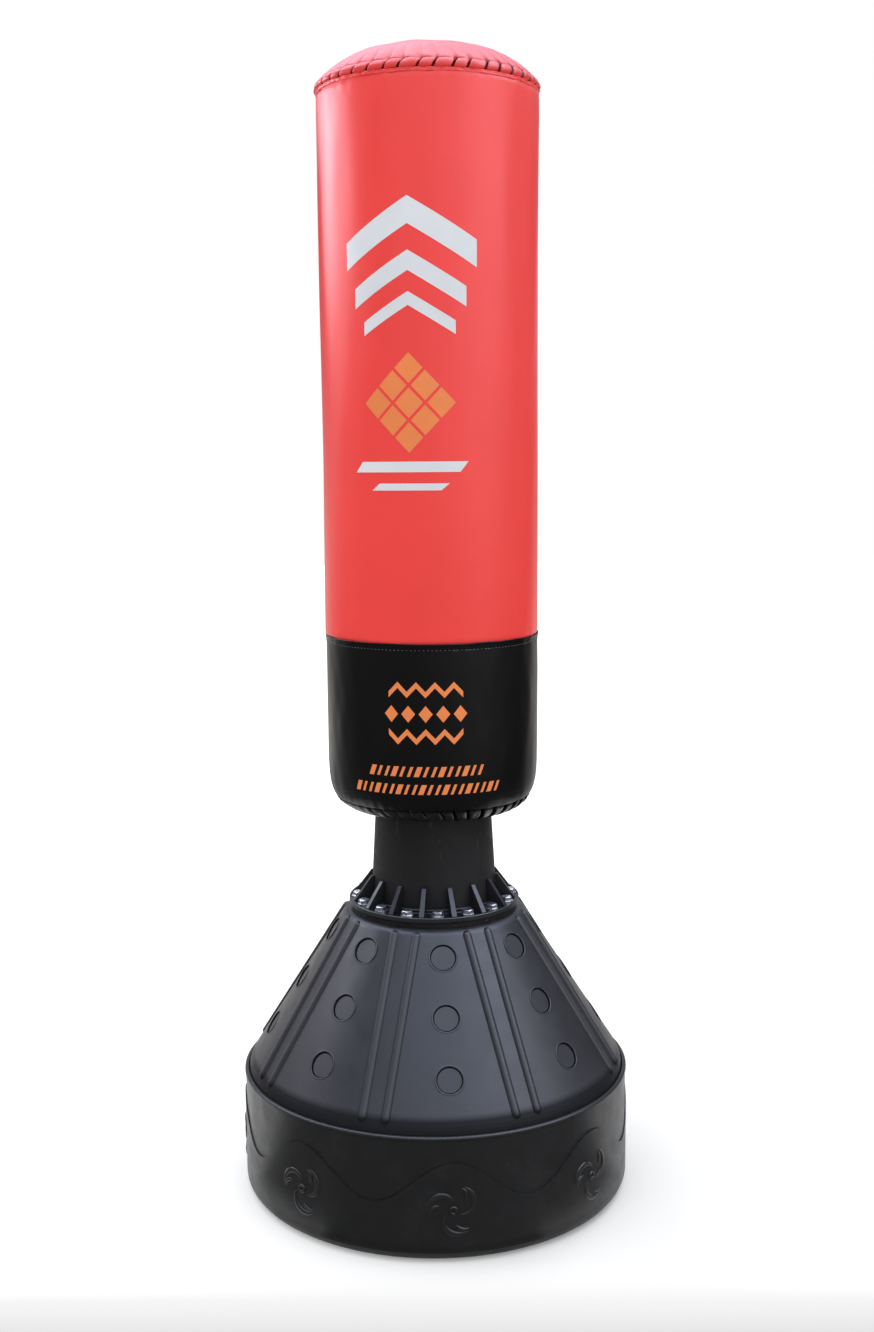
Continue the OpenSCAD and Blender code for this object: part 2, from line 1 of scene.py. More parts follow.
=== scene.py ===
import math

import bmesh
import bpy
import numpy as np
from mathutils import Matrix, Vector


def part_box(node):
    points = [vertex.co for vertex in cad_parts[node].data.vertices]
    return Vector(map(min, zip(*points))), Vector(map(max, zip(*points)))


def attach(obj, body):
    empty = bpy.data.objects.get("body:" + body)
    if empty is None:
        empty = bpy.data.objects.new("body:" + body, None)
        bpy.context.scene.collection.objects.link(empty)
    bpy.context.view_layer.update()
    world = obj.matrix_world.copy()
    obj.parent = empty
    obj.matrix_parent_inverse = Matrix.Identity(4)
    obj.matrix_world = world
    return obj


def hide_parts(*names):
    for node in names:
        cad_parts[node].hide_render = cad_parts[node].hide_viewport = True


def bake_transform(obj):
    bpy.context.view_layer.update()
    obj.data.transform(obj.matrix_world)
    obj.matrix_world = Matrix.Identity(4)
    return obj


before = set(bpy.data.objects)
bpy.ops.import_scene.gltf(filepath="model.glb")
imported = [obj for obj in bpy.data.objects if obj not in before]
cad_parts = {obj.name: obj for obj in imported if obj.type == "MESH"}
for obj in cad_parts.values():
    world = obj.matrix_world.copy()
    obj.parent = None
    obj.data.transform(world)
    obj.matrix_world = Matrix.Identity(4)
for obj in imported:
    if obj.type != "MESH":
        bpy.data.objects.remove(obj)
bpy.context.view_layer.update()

bl_info = {
    "name": "Free-standing punching bag",
    "version": (1, 0, 0),
    "blender": (4, 5, 0),
    "location": "3D View > Sidebar > Punching bag",
    "description": "Makes the cover, stitching, neck, prints and finishes of a free-standing bag",
    "category": "Object",
}

MM = 0.001


def tube_size(node):
    """Outer radius, lowest and highest point of a round node, in metres."""
    low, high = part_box(node)
    return (high[0] - low[0]) / 2, low[2], high[2]


SLEEVE_LOW, SLEEVE_TOP = tube_size("cover_sleeve")[1:]
SEAM_Z = tube_size("cover_dome")[1]
BINDING_LOW, BINDING_TOP = tube_size("skirt_binding")[1:]
HEM_R, HEM_LOW, HEM_TOP = tube_size("skirt_hem")
CORD_R, CORD_LOW, CORD_TOP = tube_size("hem_drawcord")
DRUM_R = tube_size("base_drum")[0]
# Radius of the bag's skin at the prints and at the seams down the back
PRINT_R, SEAM_R = 0.1645, 0.164


# ---------------------------------------------------------------- settings
def colour_prop(name, text, value):
    return bpy.props.FloatVectorProperty(name=name, description=text, subtype="COLOR", size=3,
                                         min=0, max=1, default=value)


def length_prop(name, text, low, high, value):
    return bpy.props.FloatProperty(name=name, description=text, subtype="DISTANCE",
                                   unit="LENGTH", min=low, max=high, default=value)


def number_prop(name, text, low, high, value):
    return bpy.props.FloatProperty(name=name, description=text, min=low, max=high, default=value)


class CoverSettings(bpy.types.PropertyGroup):
    red: colour_prop("Red leather", "Colour of the sleeve and the domed top", (0.85, 0.049, 0.042))
    black: colour_prop("Black leather", "Colour of the skirt", (0.0037, 0.0036, 0.0037))
    thickness: length_prop("Leather thickness", "Thickness of the cover", 0.001, 0.004, 0.0022)
    pleats: bpy.props.IntProperty(
        name="Pleats", description="Number of pleats gathered round the top and the bottom",
        min=12, max=60, default=42)
    notch: length_prop("Notch depth", "Depth of the gap between two pleats", 0, 0.006, 0.0044)
    lean: number_prop("Pleat lean", "How far a pleat leans over the height of the roll, in "
                      "degrees round the axis", -8, 8, 3.0)
    wave: length_prop("Unevenness", "How far the sleeve's surface wanders from a true cylinder",
                      0, 0.003, 0.0005)


class StitchSettings(bpy.types.PropertyGroup):
    pitch: length_prop("Stitch pitch", "Distance from one stitch to the next", 0.003, 0.012, 0.0063)
    length: length_prop("Stitch length", "Length of thread that shows in one stitch",
                        0.001, 0.009, 0.0036)
    radius: length_prop("Thread radius", "Radius of the sewing thread", 0.0001, 0.001, 0.00045)
    grey: colour_prop("Grey thread", "Colour of the thread on the skirt", (0.085, 0.085, 0.09))
    red: colour_prop("Red thread", "Colour of the thread on the sleeve", (0.42, 0.02, 0.02))


class PrintSettings(bpy.types.PropertyGroup):
    silver: colour_prop("Silver ink", "Colour of the pale print", (0.66, 0.68, 0.71))
    orange: colour_prop("Orange ink", "Colour of the warm print", (0.80, 0.215, 0.05))
    height: length_prop("Ink height", "How far the ink stands above the leather",
                        0.0001, 0.001, 0.00028)
    sleeve_turn: number_prop("Sleeve print turn", "Where the sleeve's print stands round the "
                             "axis, from the front, in degrees", -180, 180, -15)
    sleeve_z: length_prop("Sleeve print height", "Height of the middle of the sleeve's print",
                          1.0, 1.6, 1.305)
    skirt_turn: number_prop("Skirt print turn", "Where the skirt's print stands round the "
                            "axis, from the front, in degrees", -180, 180, -8)
    skirt_z: length_prop("Skirt print height", "Height of the middle of the skirt's print",
                         0.7, 0.85, 0.776)


class BaseSettings(bpy.types.PropertyGroup):
    tank: colour_prop("Tank plastic", "Colour of the tank", (0.0100, 0.0100, 0.0104))
    cone: colour_prop("Cover plastic", "Colour of the domed base cover", (0.0185, 0.0195, 0.0238))
    flange: colour_prop("Flange plastic", "Colour of the gusseted flange",
                        (0.0125, 0.0130, 0.0160))
    neck: colour_prop("Neck rubber", "Colour of the flexible neck", (0.0089, 0.0081, 0.0078))
    motif_z: length_prop("Motif height", "Height of the middle of a relief motif above the floor",
                         0.05, 0.1, 0.080)
    motif_size: length_prop("Motif size", "Height of a relief motif", 0.03, 0.085, 0.078)
    motif_rise: length_prop("Motif rise", "How far a motif stands out of the tank wall",
                            0.0003, 0.003, 0.0019)


class StageSettings(bpy.types.PropertyGroup):
    ambient: number_prop("Ambient level", "Soft light from all sides", 0, 2, 0.97)
    side_fill: number_prop("Side light", "Brightness of the soft light from the left", 0, 20, 0.6)
    back_fill: number_prop("Right light", "Brightness of the soft light from behind on the right",
                           0, 20, 1.9)
    top_fill: number_prop("Overhead light", "Brightness of the soft light from above", 0, 20, 0.7)
    walls: number_prop("Wall level", "Brightness of the room's walls in reflections", 0, 4, 1.0)
    ceiling: number_prop("Ceiling level", "Brightness of the room's ceiling in reflections",
                         0, 4, 1.0)


# ------------------------------------------------------------ mesh helpers
def polar(r, turn, z):
    """Points at radius r, turned from the front towards +X by turn degrees."""
    a = np.radians(turn)
    return np.stack(np.broadcast_arrays(r * np.sin(a), -r * np.cos(a), z), -1)


def around(count):
    """Turns of count even steps round the axis, in degrees."""
    return np.arange(count) * 360 / count


def ease(t):
    t = np.clip(t, 0, 1)
    return t * t * (3 - 2 * t)


def ripple(turn, height, seed, count, laps, rise):
    """A smooth random field of about unit size round the axis. laps bounds the whole waves
    per lap, rise the waves per metre of height."""
    pick = np.random.RandomState(seed)
    total = 0
    for _ in range(count):
        m = pick.randint(laps[0], laps[1] + 1)
        k = pick.uniform(rise[0], rise[1]) * pick.choice((-1, 1))
        phase = 2 * math.pi * k * height + pick.uniform(0, 2 * math.pi)
        total = total + np.cos(np.radians(turn) * m + phase)
    return total / math.sqrt(count)


def ring_faces(rows, wrap=False):
    """Joins closed rings of points into faces. Neighbouring rings have the same count, or one
    divides the other; a ring of one point is a pole."""
    starts = np.cumsum([0] + [len(r) for r in rows])
    faces = []
    pairs = [(i, (i + 1) % len(rows)) for i in range(len(rows) if wrap else len(rows) - 1)]
    for i, j in pairs:
        a, b, na, nb = starts[i], starts[j], len(rows[i]), len(rows[j])
        if na == nb:
            k = np.arange(na)
            n = (k + 1) % na
            faces += np.stack([a + k, a + n, b + n, b + k], -1).tolist()
        elif min(na, nb) == 1:
            ring, pole, count = (a, b, na) if nb == 1 else (b, a, nb)
            for k in range(count):
                edge = [ring + k, ring + (k + 1) % count]
                faces.append(edge + [pole] if nb == 1 else edge[::-1] + [pole])
        else:
            fine, coarse, nf, nc = (a, b, na, nb) if na > nb else (b, a, nb, na)
            step = nf // nc
            for k in range(nc):
                run = [fine + (k * step + i) % nf for i in range(step + 1)]
                face = run + [coarse + (k + 1) % nc, coarse + k]
                faces.append(face if na > nb else face[::-1])
    return faces


def tube_faces(start, count, m, closed=False):
    """Faces of a tube of count rings, each of m points, with flat ends unless it is closed."""
    faces = []
    for i in range(count if closed else count - 1):
        a, b = start + i * m, start + (i + 1) % count * m
        faces += [[a + k, a + (k + 1) % m, b + (k + 1) % m, b + k] for k in range(m)]
    if not closed:
        faces.append([start + k for k in range(m)])
        faces.append([start + (count - 1) * m + k for k in range(m)][::-1])
    return faces


def add_object(name, mesh, material=None, body=None, sharp=None):
    """Puts a mesh in the scene, smooth-shaded with its hard edges kept."""
    mesh.name = name
    mesh.shade_smooth()
    if sharp:
        mesh.set_sharp_from_angle(angle=math.radians(sharp))
    if material:
        mesh.materials.append(material)
    piece = bpy.data.objects.new(name, mesh)
    bpy.context.scene.collection.objects.link(piece)
    if body:
        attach(piece, body)
    return piece


def reworked_piece(name, work, material, body=None):
    """A piece from a finished bmesh."""
    mesh = bpy.data.meshes.new(name)
    work.to_mesh(mesh)
    work.free()
    return add_object(name, mesh, material, body, 35)


def merged_copy(node):
    """A CAD node's mesh as a bmesh, with its loose triangles joined."""
    work = bmesh.new()
    work.from_mesh(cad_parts[node].data)
    bmesh.ops.remove_doubles(work, verts=work.verts, dist=1e-5)
    return work


def make_piece(name, points, faces, material, body=None, sharp=40, recalc=True):
    """A mesh object in the part's own frame, from points and faces."""
    mesh = bpy.data.meshes.new(name)
    mesh.from_pydata([tuple(p) for p in np.asarray(points, float).tolist()], [], faces)
    if recalc:
        work = bmesh.new()
        work.from_mesh(mesh)
        bmesh.ops.recalc_face_normals(work, faces=work.faces)
        work.to_mesh(mesh)
        work.free()
    return add_object(name, mesh, material, body, sharp)


def add_values(piece, name, values):
    """Stores one number per point for the material to read."""
    layer = piece.data.attributes.new(name, "FLOAT", "POINT")
    layer.data.foreach_set("value", np.asarray(values, np.float32))


def lathe_piece(name, rows, material, values=None, wrap=True, sharp=None):
    """A piece of the bag made of rings of points, with how much painted shade each point takes."""
    faces = ring_faces(rows, wrap)
    piece = make_piece(name, np.concatenate(rows), faces, material, "bag", sharp)
    if values is not None:
        add_values(piece, "crease_shade", np.concatenate(values))
    return piece


def along(points, table):
    return np.interp(points, [a for a, _ in table], [b for _, b in table])


def path_length(line):
    """Distance of each point of a flat line from its start."""
    return np.concatenate([[0], np.cumsum(np.hypot(*np.diff(line, axis=0).T))])


def points_at(at, length, line):
    """Points of a flat line at the given distances from its start."""
    return np.stack([np.interp(at, length, line[:, c]) for c in (0, 1)], -1)


def spread_profile(points, count, samples=2000, smooth=0.0035):
    """Even points along a smoothed line through the given (z, r) pairs."""
    line = np.array(points, float)
    length = path_length(line)
    fine = np.linspace(0, length[-1], samples)
    q = points_at(fine, length, line)
    width = max(3, int(samples * smooth / length[-1]) | 1)
    pad = width // 2
    kernel = np.hanning(width + 2)[1:-1]
    kernel /= kernel.sum()
    for c in (0, 1):
        ends = np.concatenate([2 * q[0, c] - q[pad:0:-1, c], q[:, c],
                               2 * q[-1, c] - q[-2:-pad - 2:-1, c]])
        q[:, c] = np.convolve(ends, kernel, "valid")
    return points_at(np.linspace(0, length[-1], count), fine, q)


# -------------------------------------------------------- material helpers
def tone(colour, factor):
    return tuple(min(1.0, c * factor) for c in colour)


class Nodes:
    """Adds and links the nodes of one tree."""

    def __init__(self, tree):
        self.tree = tree
        tree.nodes.clear()

    def add(self, kind, inputs=None, **settings):
        node = self.tree.nodes.new(kind)
        for key, value in settings.items():
            setattr(node, key, value)
        for key, value in (inputs or {}).items():
            self.feed(node.inputs[key], value)
        return node

    def feed(self, socket, value):
        if isinstance(value, bpy.types.NodeSocket):
            self.tree.links.new(value, socket)
        elif isinstance(value, (tuple, list)) and len(value) == 3 and socket.type == "RGBA":
            socket.default_value = (*value, 1)
        else:
            socket.default_value = value

    def calc(self, kind, a, b=0.0, c=0.0):
        return self.add("ShaderNodeMath", {0: a, 1: b, 2: c}, operation=kind).outputs[0]

    def shown_rays(self):
        """1 for camera, glossy and transmission rays."""
        path = self.add("ShaderNodeLightPath").outputs
        mirrored = self.calc("MAXIMUM", path["Is Camera Ray"], path["Is Glossy Ray"])
        return self.calc("MAXIMUM", mirrored, path["Is Transmission Ray"])

    def end(self, kind, source):
        """Links a shader to the tree's output."""
        self.feed(self.add(kind).inputs[0], source.outputs[0])


class Recipe(Nodes):
    """Builds one procedural material, node by node."""

    def __init__(self, name):
        self.material = bpy.data.materials.new(name)
        self.material.use_nodes = True
        super().__init__(self.material.node_tree)
        self.place = self.add("ShaderNodeTexCoord").outputs["Object"]

    def stretched(self, scale):
        return self.add("ShaderNodeMapping", {"Vector": self.place, "Scale": scale}).outputs[0]

    def height(self):
        return self.add("ShaderNodeSeparateXYZ", {"Vector": self.place}).outputs["Z"]

    def noise(self, scale, detail=3, rough=0.5, vector=None):
        return self.add("ShaderNodeTexNoise", {
            "Vector": vector or self.place, "Scale": scale, "Detail": detail,
            "Roughness": rough}).outputs["Fac"]

    def cells(self, scale):
        inputs = {"Vector": self.place, "Scale": scale}
        return self.add("ShaderNodeTexVoronoi", inputs).outputs["Distance"]

    def remap(self, value, low, high, to_low=0.0, to_high=1.0):
        return self.add("ShaderNodeMapRange", {
            "Value": value, "From Min": low, "From Max": high, "To Min": to_low,
            "To Max": to_high}).outputs[0]

    def blend(self, factor, a, b):
        return self.add("ShaderNodeMix", {0: factor, 6: a, 7: b}, data_type="RGBA").outputs[2]

    def mottle(self, value, low, high, colour, dark, light):
        """The colour, between two tones of itself."""
        return self.blend(self.remap(value, low, high), tone(colour, dark), tone(colour, light))

    def times(self, a, b):
        return self.calc("MULTIPLY", a, b)

    def plus(self, a, b, share):
        """a, and a share of b."""
        return self.calc("ADD", a, self.times(b, share))

    def leather_grain(self):
        return self.plus(self.noise(600, 3, 0.55), self.cells(1500), 0.6)

    def value(self, name):
        return self.add("ShaderNodeAttribute", attribute_name=name).outputs["Fac"]

    def bump(self, height, distance, strength, normal=None):
        inputs = {"Height": height, "Distance": distance, "Strength": strength}
        if normal is not None:
            inputs["Normal"] = normal
        return self.add("ShaderNodeBump", inputs).outputs[0]

    def finish(self, colour, roughness, normal, **extra):
        """Ends the material. The extra inputs have underscores for spaces."""
        inputs = {"Base Color": colour, "Roughness": roughness, "Normal": normal}
        inputs.update((key.replace("_", " "), value) for key, value in extra.items())
        self.end("ShaderNodeOutputMaterial", self.add("ShaderNodeBsdfPrincipled", inputs))
        return self.material


def soft_leather(name, colour, low, high, specular, relief=0.10, grain_depth=0.00006):
    """Smooth synthetic leather: a fine pebble grain, broad soft changes of tone, and painted shade
    in creases and seams, darker and less specular.
    """
    r = Recipe(name)
    shade = r.mottle(r.noise(9, 3, 0.5), 0.3, 0.7, colour, 0.975, 1.025)
    shade = r.blend(r.remap(r.noise(140, 4, 0.6), 0.35, 0.75, 0, 0.10), shade, tone(colour, 0.90))
    crease_shade = r.value("crease_shade")
    # painted shade: the colour goes almost black and the specular drops where a point's shade value
    # is high
    shade = r.blend(r.times(crease_shade, 0.96), shade, tone(colour, 0.07))
    rough = r.remap(r.noise(26, 2, 0.5), 0, 1, low, high)
    normal = r.bump(r.noise(38, 2, 0.4), 0.0004, relief,
                    r.bump(r.leather_grain(), grain_depth, 0.5))
    return r.finish(shade, rough, normal, Specular_IOR_Level=r.remap(crease_shade, 0, 1, specular, 0.04))


def moulded_plastic(name, colour, low, high, specular, dust=0.0, scuff=0.0,
                    dust_colour=(0.16, 0.155, 0.145), foot=None):
    """Satin blow-moulded plastic: sand-like mould grain, faint flow shading, dust and scuffs.
    Down through the two heights of foot it is painted darker and less specular, as painted shade."""
    r = Recipe(name)
    shade = r.mottle(r.noise(5, 4, 0.55), 0.3, 0.7, colour, 0.86, 1.14)
    shade = r.blend(r.remap(r.noise(420, 2, 0.7), 0.66, 0.80, 0, 0.5), shade, tone(colour, 1.7))
    if dust:
        cloud = r.times(r.remap(r.noise(14, 5, 0.65), 0.50, 0.78),
                        r.remap(r.noise(190, 3, 0.7), 0.35, 0.8))
        shade = r.blend(r.times(cloud, dust), shade, dust_colour)
    if scuff:
        lines = r.noise(60, 3, 0.6, r.stretched((1, 1, 14)))
        marks = r.times(r.remap(lines, 0.66, 0.74), r.remap(r.noise(7, 3, 0.6), 0.52, 0.66))
        shade = r.blend(r.times(marks, scuff), shade, (0.15, 0.15, 0.15))
    rough = r.remap(r.noise(34, 4, 0.6), 0.3, 0.7, low, high)
    grain = r.plus(r.noise(1100, 2, 0.6), r.noise(240, 3, 0.5), 0.8)
    if foot:
        # painted shade: darker colour and less specular down through the foot
        foot_shade = r.remap(r.height(), *foot, 1, 0)
        shade = r.blend(foot_shade, shade, tone(colour, 0.62))
        specular = r.remap(foot_shade, 0, 1, specular, 0.10)
    return r.finish(shade, rough, r.bump(grain, 0.00005, 0.7), Specular_IOR_Level=specular)


def plated_metal(name, colour, low, high, brushed=False):
    """Bright plated metal with fine turning marks and a few dull spots."""
    r = Recipe(name)
    shade = r.mottle(r.noise(160, 4, 0.6), 0.45, 0.75, colour, 1, 0.72)
    rough = r.remap(r.noise(320, 3, 0.6), 0.3, 0.7, low, high)
    marks = r.noise(1500, 2, 0.6, r.stretched((1, 1, 9)) if brushed else None)
    return r.finish(shade, rough, r.bump(marks, 0.00003, 0.6), Metallic=1.0)


def matt_rubber(name, colour, low, high, scuff, specular=0.3):
    """Matt rubber with a chalky bloom and rubbed vertical marks."""
    r = Recipe(name)
    shade = r.mottle(r.noise(11, 5, 0.6), 0.35, 0.7, colour, 0.85, 1.35)
    streak = r.noise(70, 4, 0.6, r.stretched((1, 1, 0.12)))
    marks = r.times(r.remap(streak, 0.60, 0.72), r.remap(r.noise(16, 4, 0.7), 0.52, 0.66))
    shade = r.blend(r.times(marks, scuff), shade, (0.10, 0.095, 0.09))
    rough = r.remap(r.noise(50, 3, 0.6), 0.3, 0.7, low, high)
    grain = r.plus(r.noise(900, 3, 0.6), r.noise(90, 3, 0.5), 0.8)
    return r.finish(shade, rough, r.bump(grain, 0.00008, 0.7), Specular_IOR_Level=specular)


def open_foam(name, colour):
    """Cut foam: fine open cells, painted darker in their pits as painted shade, and slight
    yellowing.
    """
    r = Recipe(name)
    yellowed = (colour[0], colour[1] * 0.93, colour[2] * 0.78)
    shade = r.blend(r.remap(r.noise(14), 0.35, 0.7), colour, yellowed)
    pores = r.cells(520)
    # painted shade: the pits of the cells are darker
    shade = r.blend(r.remap(pores, 0.1, 0.5, 0.25, 0), shade, tone(colour, 0.6))
    return r.finish(shade, 0.9, r.bump(pores, 0.0006, 0.8), Specular_IOR_Level=0.1)


def loose_sand(name, colour):
    """Dry sand: grains of several browns."""
    r = Recipe(name)
    grain = r.add("ShaderNodeTexVoronoi", {"Vector": r.place, "Scale": 700}).outputs
    pick = r.add("ShaderNodeSeparateColor", {"Color": grain["Color"]}).outputs[0]
    shade = r.blend(pick, tone(colour, 0.65), tone(colour, 1.25))
    return r.finish(shade, 0.95, r.bump(grain["Distance"], 0.0008, 0.8), Specular_IOR_Level=0.15)


def braided_cord(name, colour):
    """Braided cord: crossing strands, painted darker in the hollows between them and lighter on
    their crowns as painted shade and highlight.
    """
    r = Recipe(name)
    inputs = {"Vector": r.place, "Scale": 180.0, "Distortion": 1.5}
    strands = r.add("ShaderNodeTexWave", inputs).outputs["Fac"]
    # painted shade and highlight: the colour follows the strands' bump, dark in the hollows, light
    # on the crowns
    shade = r.blend(strands, tone(colour, 0.6), tone(colour, 1.6))
    return r.finish(shade, 0.8, r.bump(strands, 0.0004, 0.8), Sheen_Weight=0.2)


def sewing_thread(name, colour):
    """Twisted sewing thread."""
    r = Recipe(name)
    shade = r.mottle(r.noise(90), 0.35, 0.7, colour, 0.65, 1.25)
    return r.finish(shade, 0.6, r.bump(r.noise(1800, 2), 0.0001, 0.8), Sheen_Weight=0.15)


def screen_ink(name, colour):
    """Screen-printed ink: even, slightly worn at pin-prick spots, with the leather's grain."""
    r = Recipe(name)
    shade = r.mottle(r.noise(12), 0.3, 0.7, colour, 0.95, 1.04)
    shade = r.blend(r.remap(r.noise(160, 5, 0.65), 0.62, 0.78, 0, 0.5), shade, tone(colour, 0.74))
    return r.finish(shade, r.remap(r.noise(60), 0.3, 0.7, 0.36, 0.5),
                    r.bump(r.leather_grain(), 0.00004, 0.5), Specular_IOR_Level=0.4)


LEATHERS = {}


def leather(name):
    """One of the cover's leathers. Each is made once and shared."""
    if name not in LEATHERS:
        c = bpy.context.scene.bag_cover
        red, black = tuple(c.red), tuple(c.black)
        LEATHERS[name] = soft_leather(name, *{
            "red_leather": (red, 0.22, 0.29, 0.44),
            # painted shade: the dome takes the sleeve's red made 20% darker, to hold back the
            # strong light on the top
            "dome_leather": (tone(red, 0.80), 0.24, 0.31, 0.44, 0.03, 0.0),
            "black_leather": (black, 0.26, 0.35, 0.23),
            "gather_leather": ((0.0115, 0.0104, 0.0094), 0.28, 0.38, 0.30)}[name])
    return LEATHERS[name]


# ------------------------------------------------------- surfaces of the bag
# Height in metres and radius in millimetres, from the bottom up
SLEEVE_LINE = ((SLEEVE_LOW, 161.9), (BINDING_TOP - 0.0035, 162.2), (BINDING_TOP + 0.0005, 163.6),
               (BINDING_TOP + 0.006, 164.0), (1.100, 164.1), (1.300, 164.4), (1.500, 165.2),
               (1.650, 165.7), (1.672, 165.5), (SLEEVE_TOP, 164.6))
# The skirt's edge where the gathers start, the foot of its straight part, and its hidden top
SKIRT_EDGE, SKIRT_STRAIGHT, SKIRT_UP = 0.6290, 0.700, 0.8720
SKIRT_LINE = ((SKIRT_EDGE, 153.8), (0.6340, 156.4), (0.6400, 158.6), (0.6497, 160.8),
              (0.6617, 162.2), (0.680, 163.0), (SKIRT_STRAIGHT, 163.2))


def sleeve_radius(turn, z):
    """Outer radius of the sleeve, with its soft unevenness and the puckers beside its seams."""
    wave = bpy.context.scene.bag_cover.wave
    r = along(z, SLEEVE_LINE) * MM
    r = r + wave * ripple(turn, z, 11, 9, (2, 7), (0.2, 2.2))
    r = r + wave * 0.35 * ripple(turn, z, 12, 12, (8, 26), (0.5, 5.0))
    near_top = np.exp(-np.abs(SLEEVE_TOP - z) / 0.018)
    near_low = np.exp(-np.abs(z - BINDING_TOP) / 0.012)
    pucker = 0.00035 * near_top + 0.0002 * near_low
    return r + pucker * ripple(turn, z, 13, 14, (16, 60), (1, 16))


def skirt_radius(turn, z):
    """Outer radius of the upright part of the skirt."""
    r = along(z, SKIRT_LINE) * MM + np.maximum(z - SKIRT_STRAIGHT, 0) * 0.0010
    r = r + 0.00045 * ripple(turn, z, 31, 9, (2, 8), (0.5, 4))
    r = r + 0.00014 * ripple(turn, z, 32, 12, (10, 34), (2, 12))
    near_edge = np.exp(-np.abs(z - SKIRT_EDGE) / 0.014)
    return r + 0.00022 * near_edge * ripple(turn, z, 33, 12, (18, 60), (2, 14))


def pleat_field(turn, lean, count, seed, radius):
    """For each point round a ring: the distance in metres to the nearest notch line on either
    side, the place between the two lines from 0 to 1, and each line's depth and length."""
    pick = np.random.RandomState(seed)
    step = 360 / count
    lines = (-1.6 + np.arange(count) * step + pick.uniform(-0.09, 0.09, count) * step) % 360
    depth, run = pick.uniform(0.8, 1.15, count), pick.uniform(0.5, 1.5, count)
    order = np.argsort(lines)
    lines, depth, run = lines[order], depth[order], run[order]
    shifted = (turn - lean) % 360
    i = np.searchsorted(lines, shifted) % count
    gap = (lines[i] - lines[i - 1]) % 360
    place = ((shifted - lines[i - 1]) % 360) / gap
    wide = gap * math.pi / 180 * radius
    return place * wide, (1 - place) * wide, place, (depth[i - 1], depth[i]), (run[i - 1], run[i])


def notch_cut(left, right, wide, trail, power, depth=(1, 1)):
    """How deep the two nearest notches cut. The one on the right is wider, trail times."""
    return (depth[0] * np.exp(-(left / wide) ** power)
            + depth[1] * np.exp(-(right / (wide * trail)) ** power))


# --------------------------------------------------------------- operators
class StepBase:
    """One step of the build. A failed step stops the script."""

    bl_options = {"REGISTER", "UNDO"}

    def execute(self, context):
        self.build(context)
        return {"FINISHED"}


# Heights between which the plastic is painted darker and less specular, at the foot of the tank and
# of its cover: painted shade low on the tank and where the cover meets the tank's rim
TANK_FOOT, CONE_FOOT = (0.0, 0.03), (0.2065, 0.2145)


class BAG_OT_hard_parts(StepBase, bpy.types.Operator):
    """Gives the tank, the base cover, the flange, the fittings and the core their finishes"""

    bl_idname = "punchbag.hard_parts"
    bl_label = "Finish the hard parts"

    def build(self, context):
        b = context.scene.bag_base
        tank = moulded_plastic("tank_plastic", tuple(b.tank), 0.34, 0.46, 0.46, 0.10, 0.22,
                               foot=TANK_FOOT)
        cone = moulded_plastic("cover_plastic", tuple(b.cone), 0.32, 0.43, 0.50, 0.12, 0.25,
                               (0.12, 0.125, 0.14), foot=CONE_FOOT)
        flange = moulded_plastic("flange_plastic", tuple(b.flange), 0.30, 0.42, 0.50, 0.10)
        port = moulded_plastic("port_plastic", (0.012, 0.012, 0.013), 0.40, 0.55, 0.35, 0.2)
        core = moulded_plastic("core_plastic", (0.10, 0.105, 0.115), 0.45, 0.6, 0.4)
        seal = matt_rubber("seal_rubber", (0.009, 0.009, 0.009), 0.6, 0.8, 0.1)
        cup = matt_rubber("cup_rubber", (0.025, 0.025, 0.026), 0.35, 0.5, 0.2)
        finishes = {
            "base_drum": tank, "base_cone": cone, "neck_flange": flange, "filler_neck": port,
            "filler_cap": port, "core_tube": core, "core_cap": core, "tank_seal": seal,
            "cap_gasket": seal, "suction_cups": cup,
            "ballast": loose_sand("dry_sand", (0.46, 0.37, 0.25)),
            "flange_washers": plated_metal("washer_zinc", (0.80, 0.81, 0.83), 0.20, 0.36),
            "flange_bolts": plated_metal("bolt_zinc", (0.66, 0.67, 0.69), 0.24, 0.42),
            "threaded_inserts": plated_metal("insert_brass", (0.62, 0.43, 0.18), 0.28, 0.45, True),
            "core_screws": plated_metal("core_screw_steel", (0.50, 0.50, 0.52), 0.3, 0.45, True),
        }
        for node, material in finishes.items():
            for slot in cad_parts[node].material_slots:
                slot.material = material


def swirl_lines(size):
    """Lines of one swirl: three curved strokes round a small ring, and a short stroke between
    each two."""
    h = size / 2
    lines = []
    t = np.linspace(0, 1, 25)
    for k in range(3):
        for start, end, sweep, width, late in ((0.30, 0.98, 96, 0.0044, 0),
                                               (0.56, 0.90, 30, 0.0030, 70)):
            a = np.radians(90 + 120 * k + late + sweep * t ** 1.2)
            r = h * (start + (end - start) * np.sin(t * math.pi / 2))
            lines.append((np.stack([r * np.cos(a), r * np.sin(a)], -1), width, False))
    a = np.linspace(0, 2 * math.pi, 25)[:-1]
    lines.append((h * 0.13 * np.stack([np.cos(a), np.sin(a)], -1), 0.0021, True))
    return lines


def resample(line, closed, step):
    p = np.vstack([line, line[:1]]) if closed else line
    length = path_length(p)
    count = max(4, int(round(length[-1] / step)))
    q = points_at(np.linspace(0, length[-1], count + 1), length, p)
    return q[:-1] if closed else q


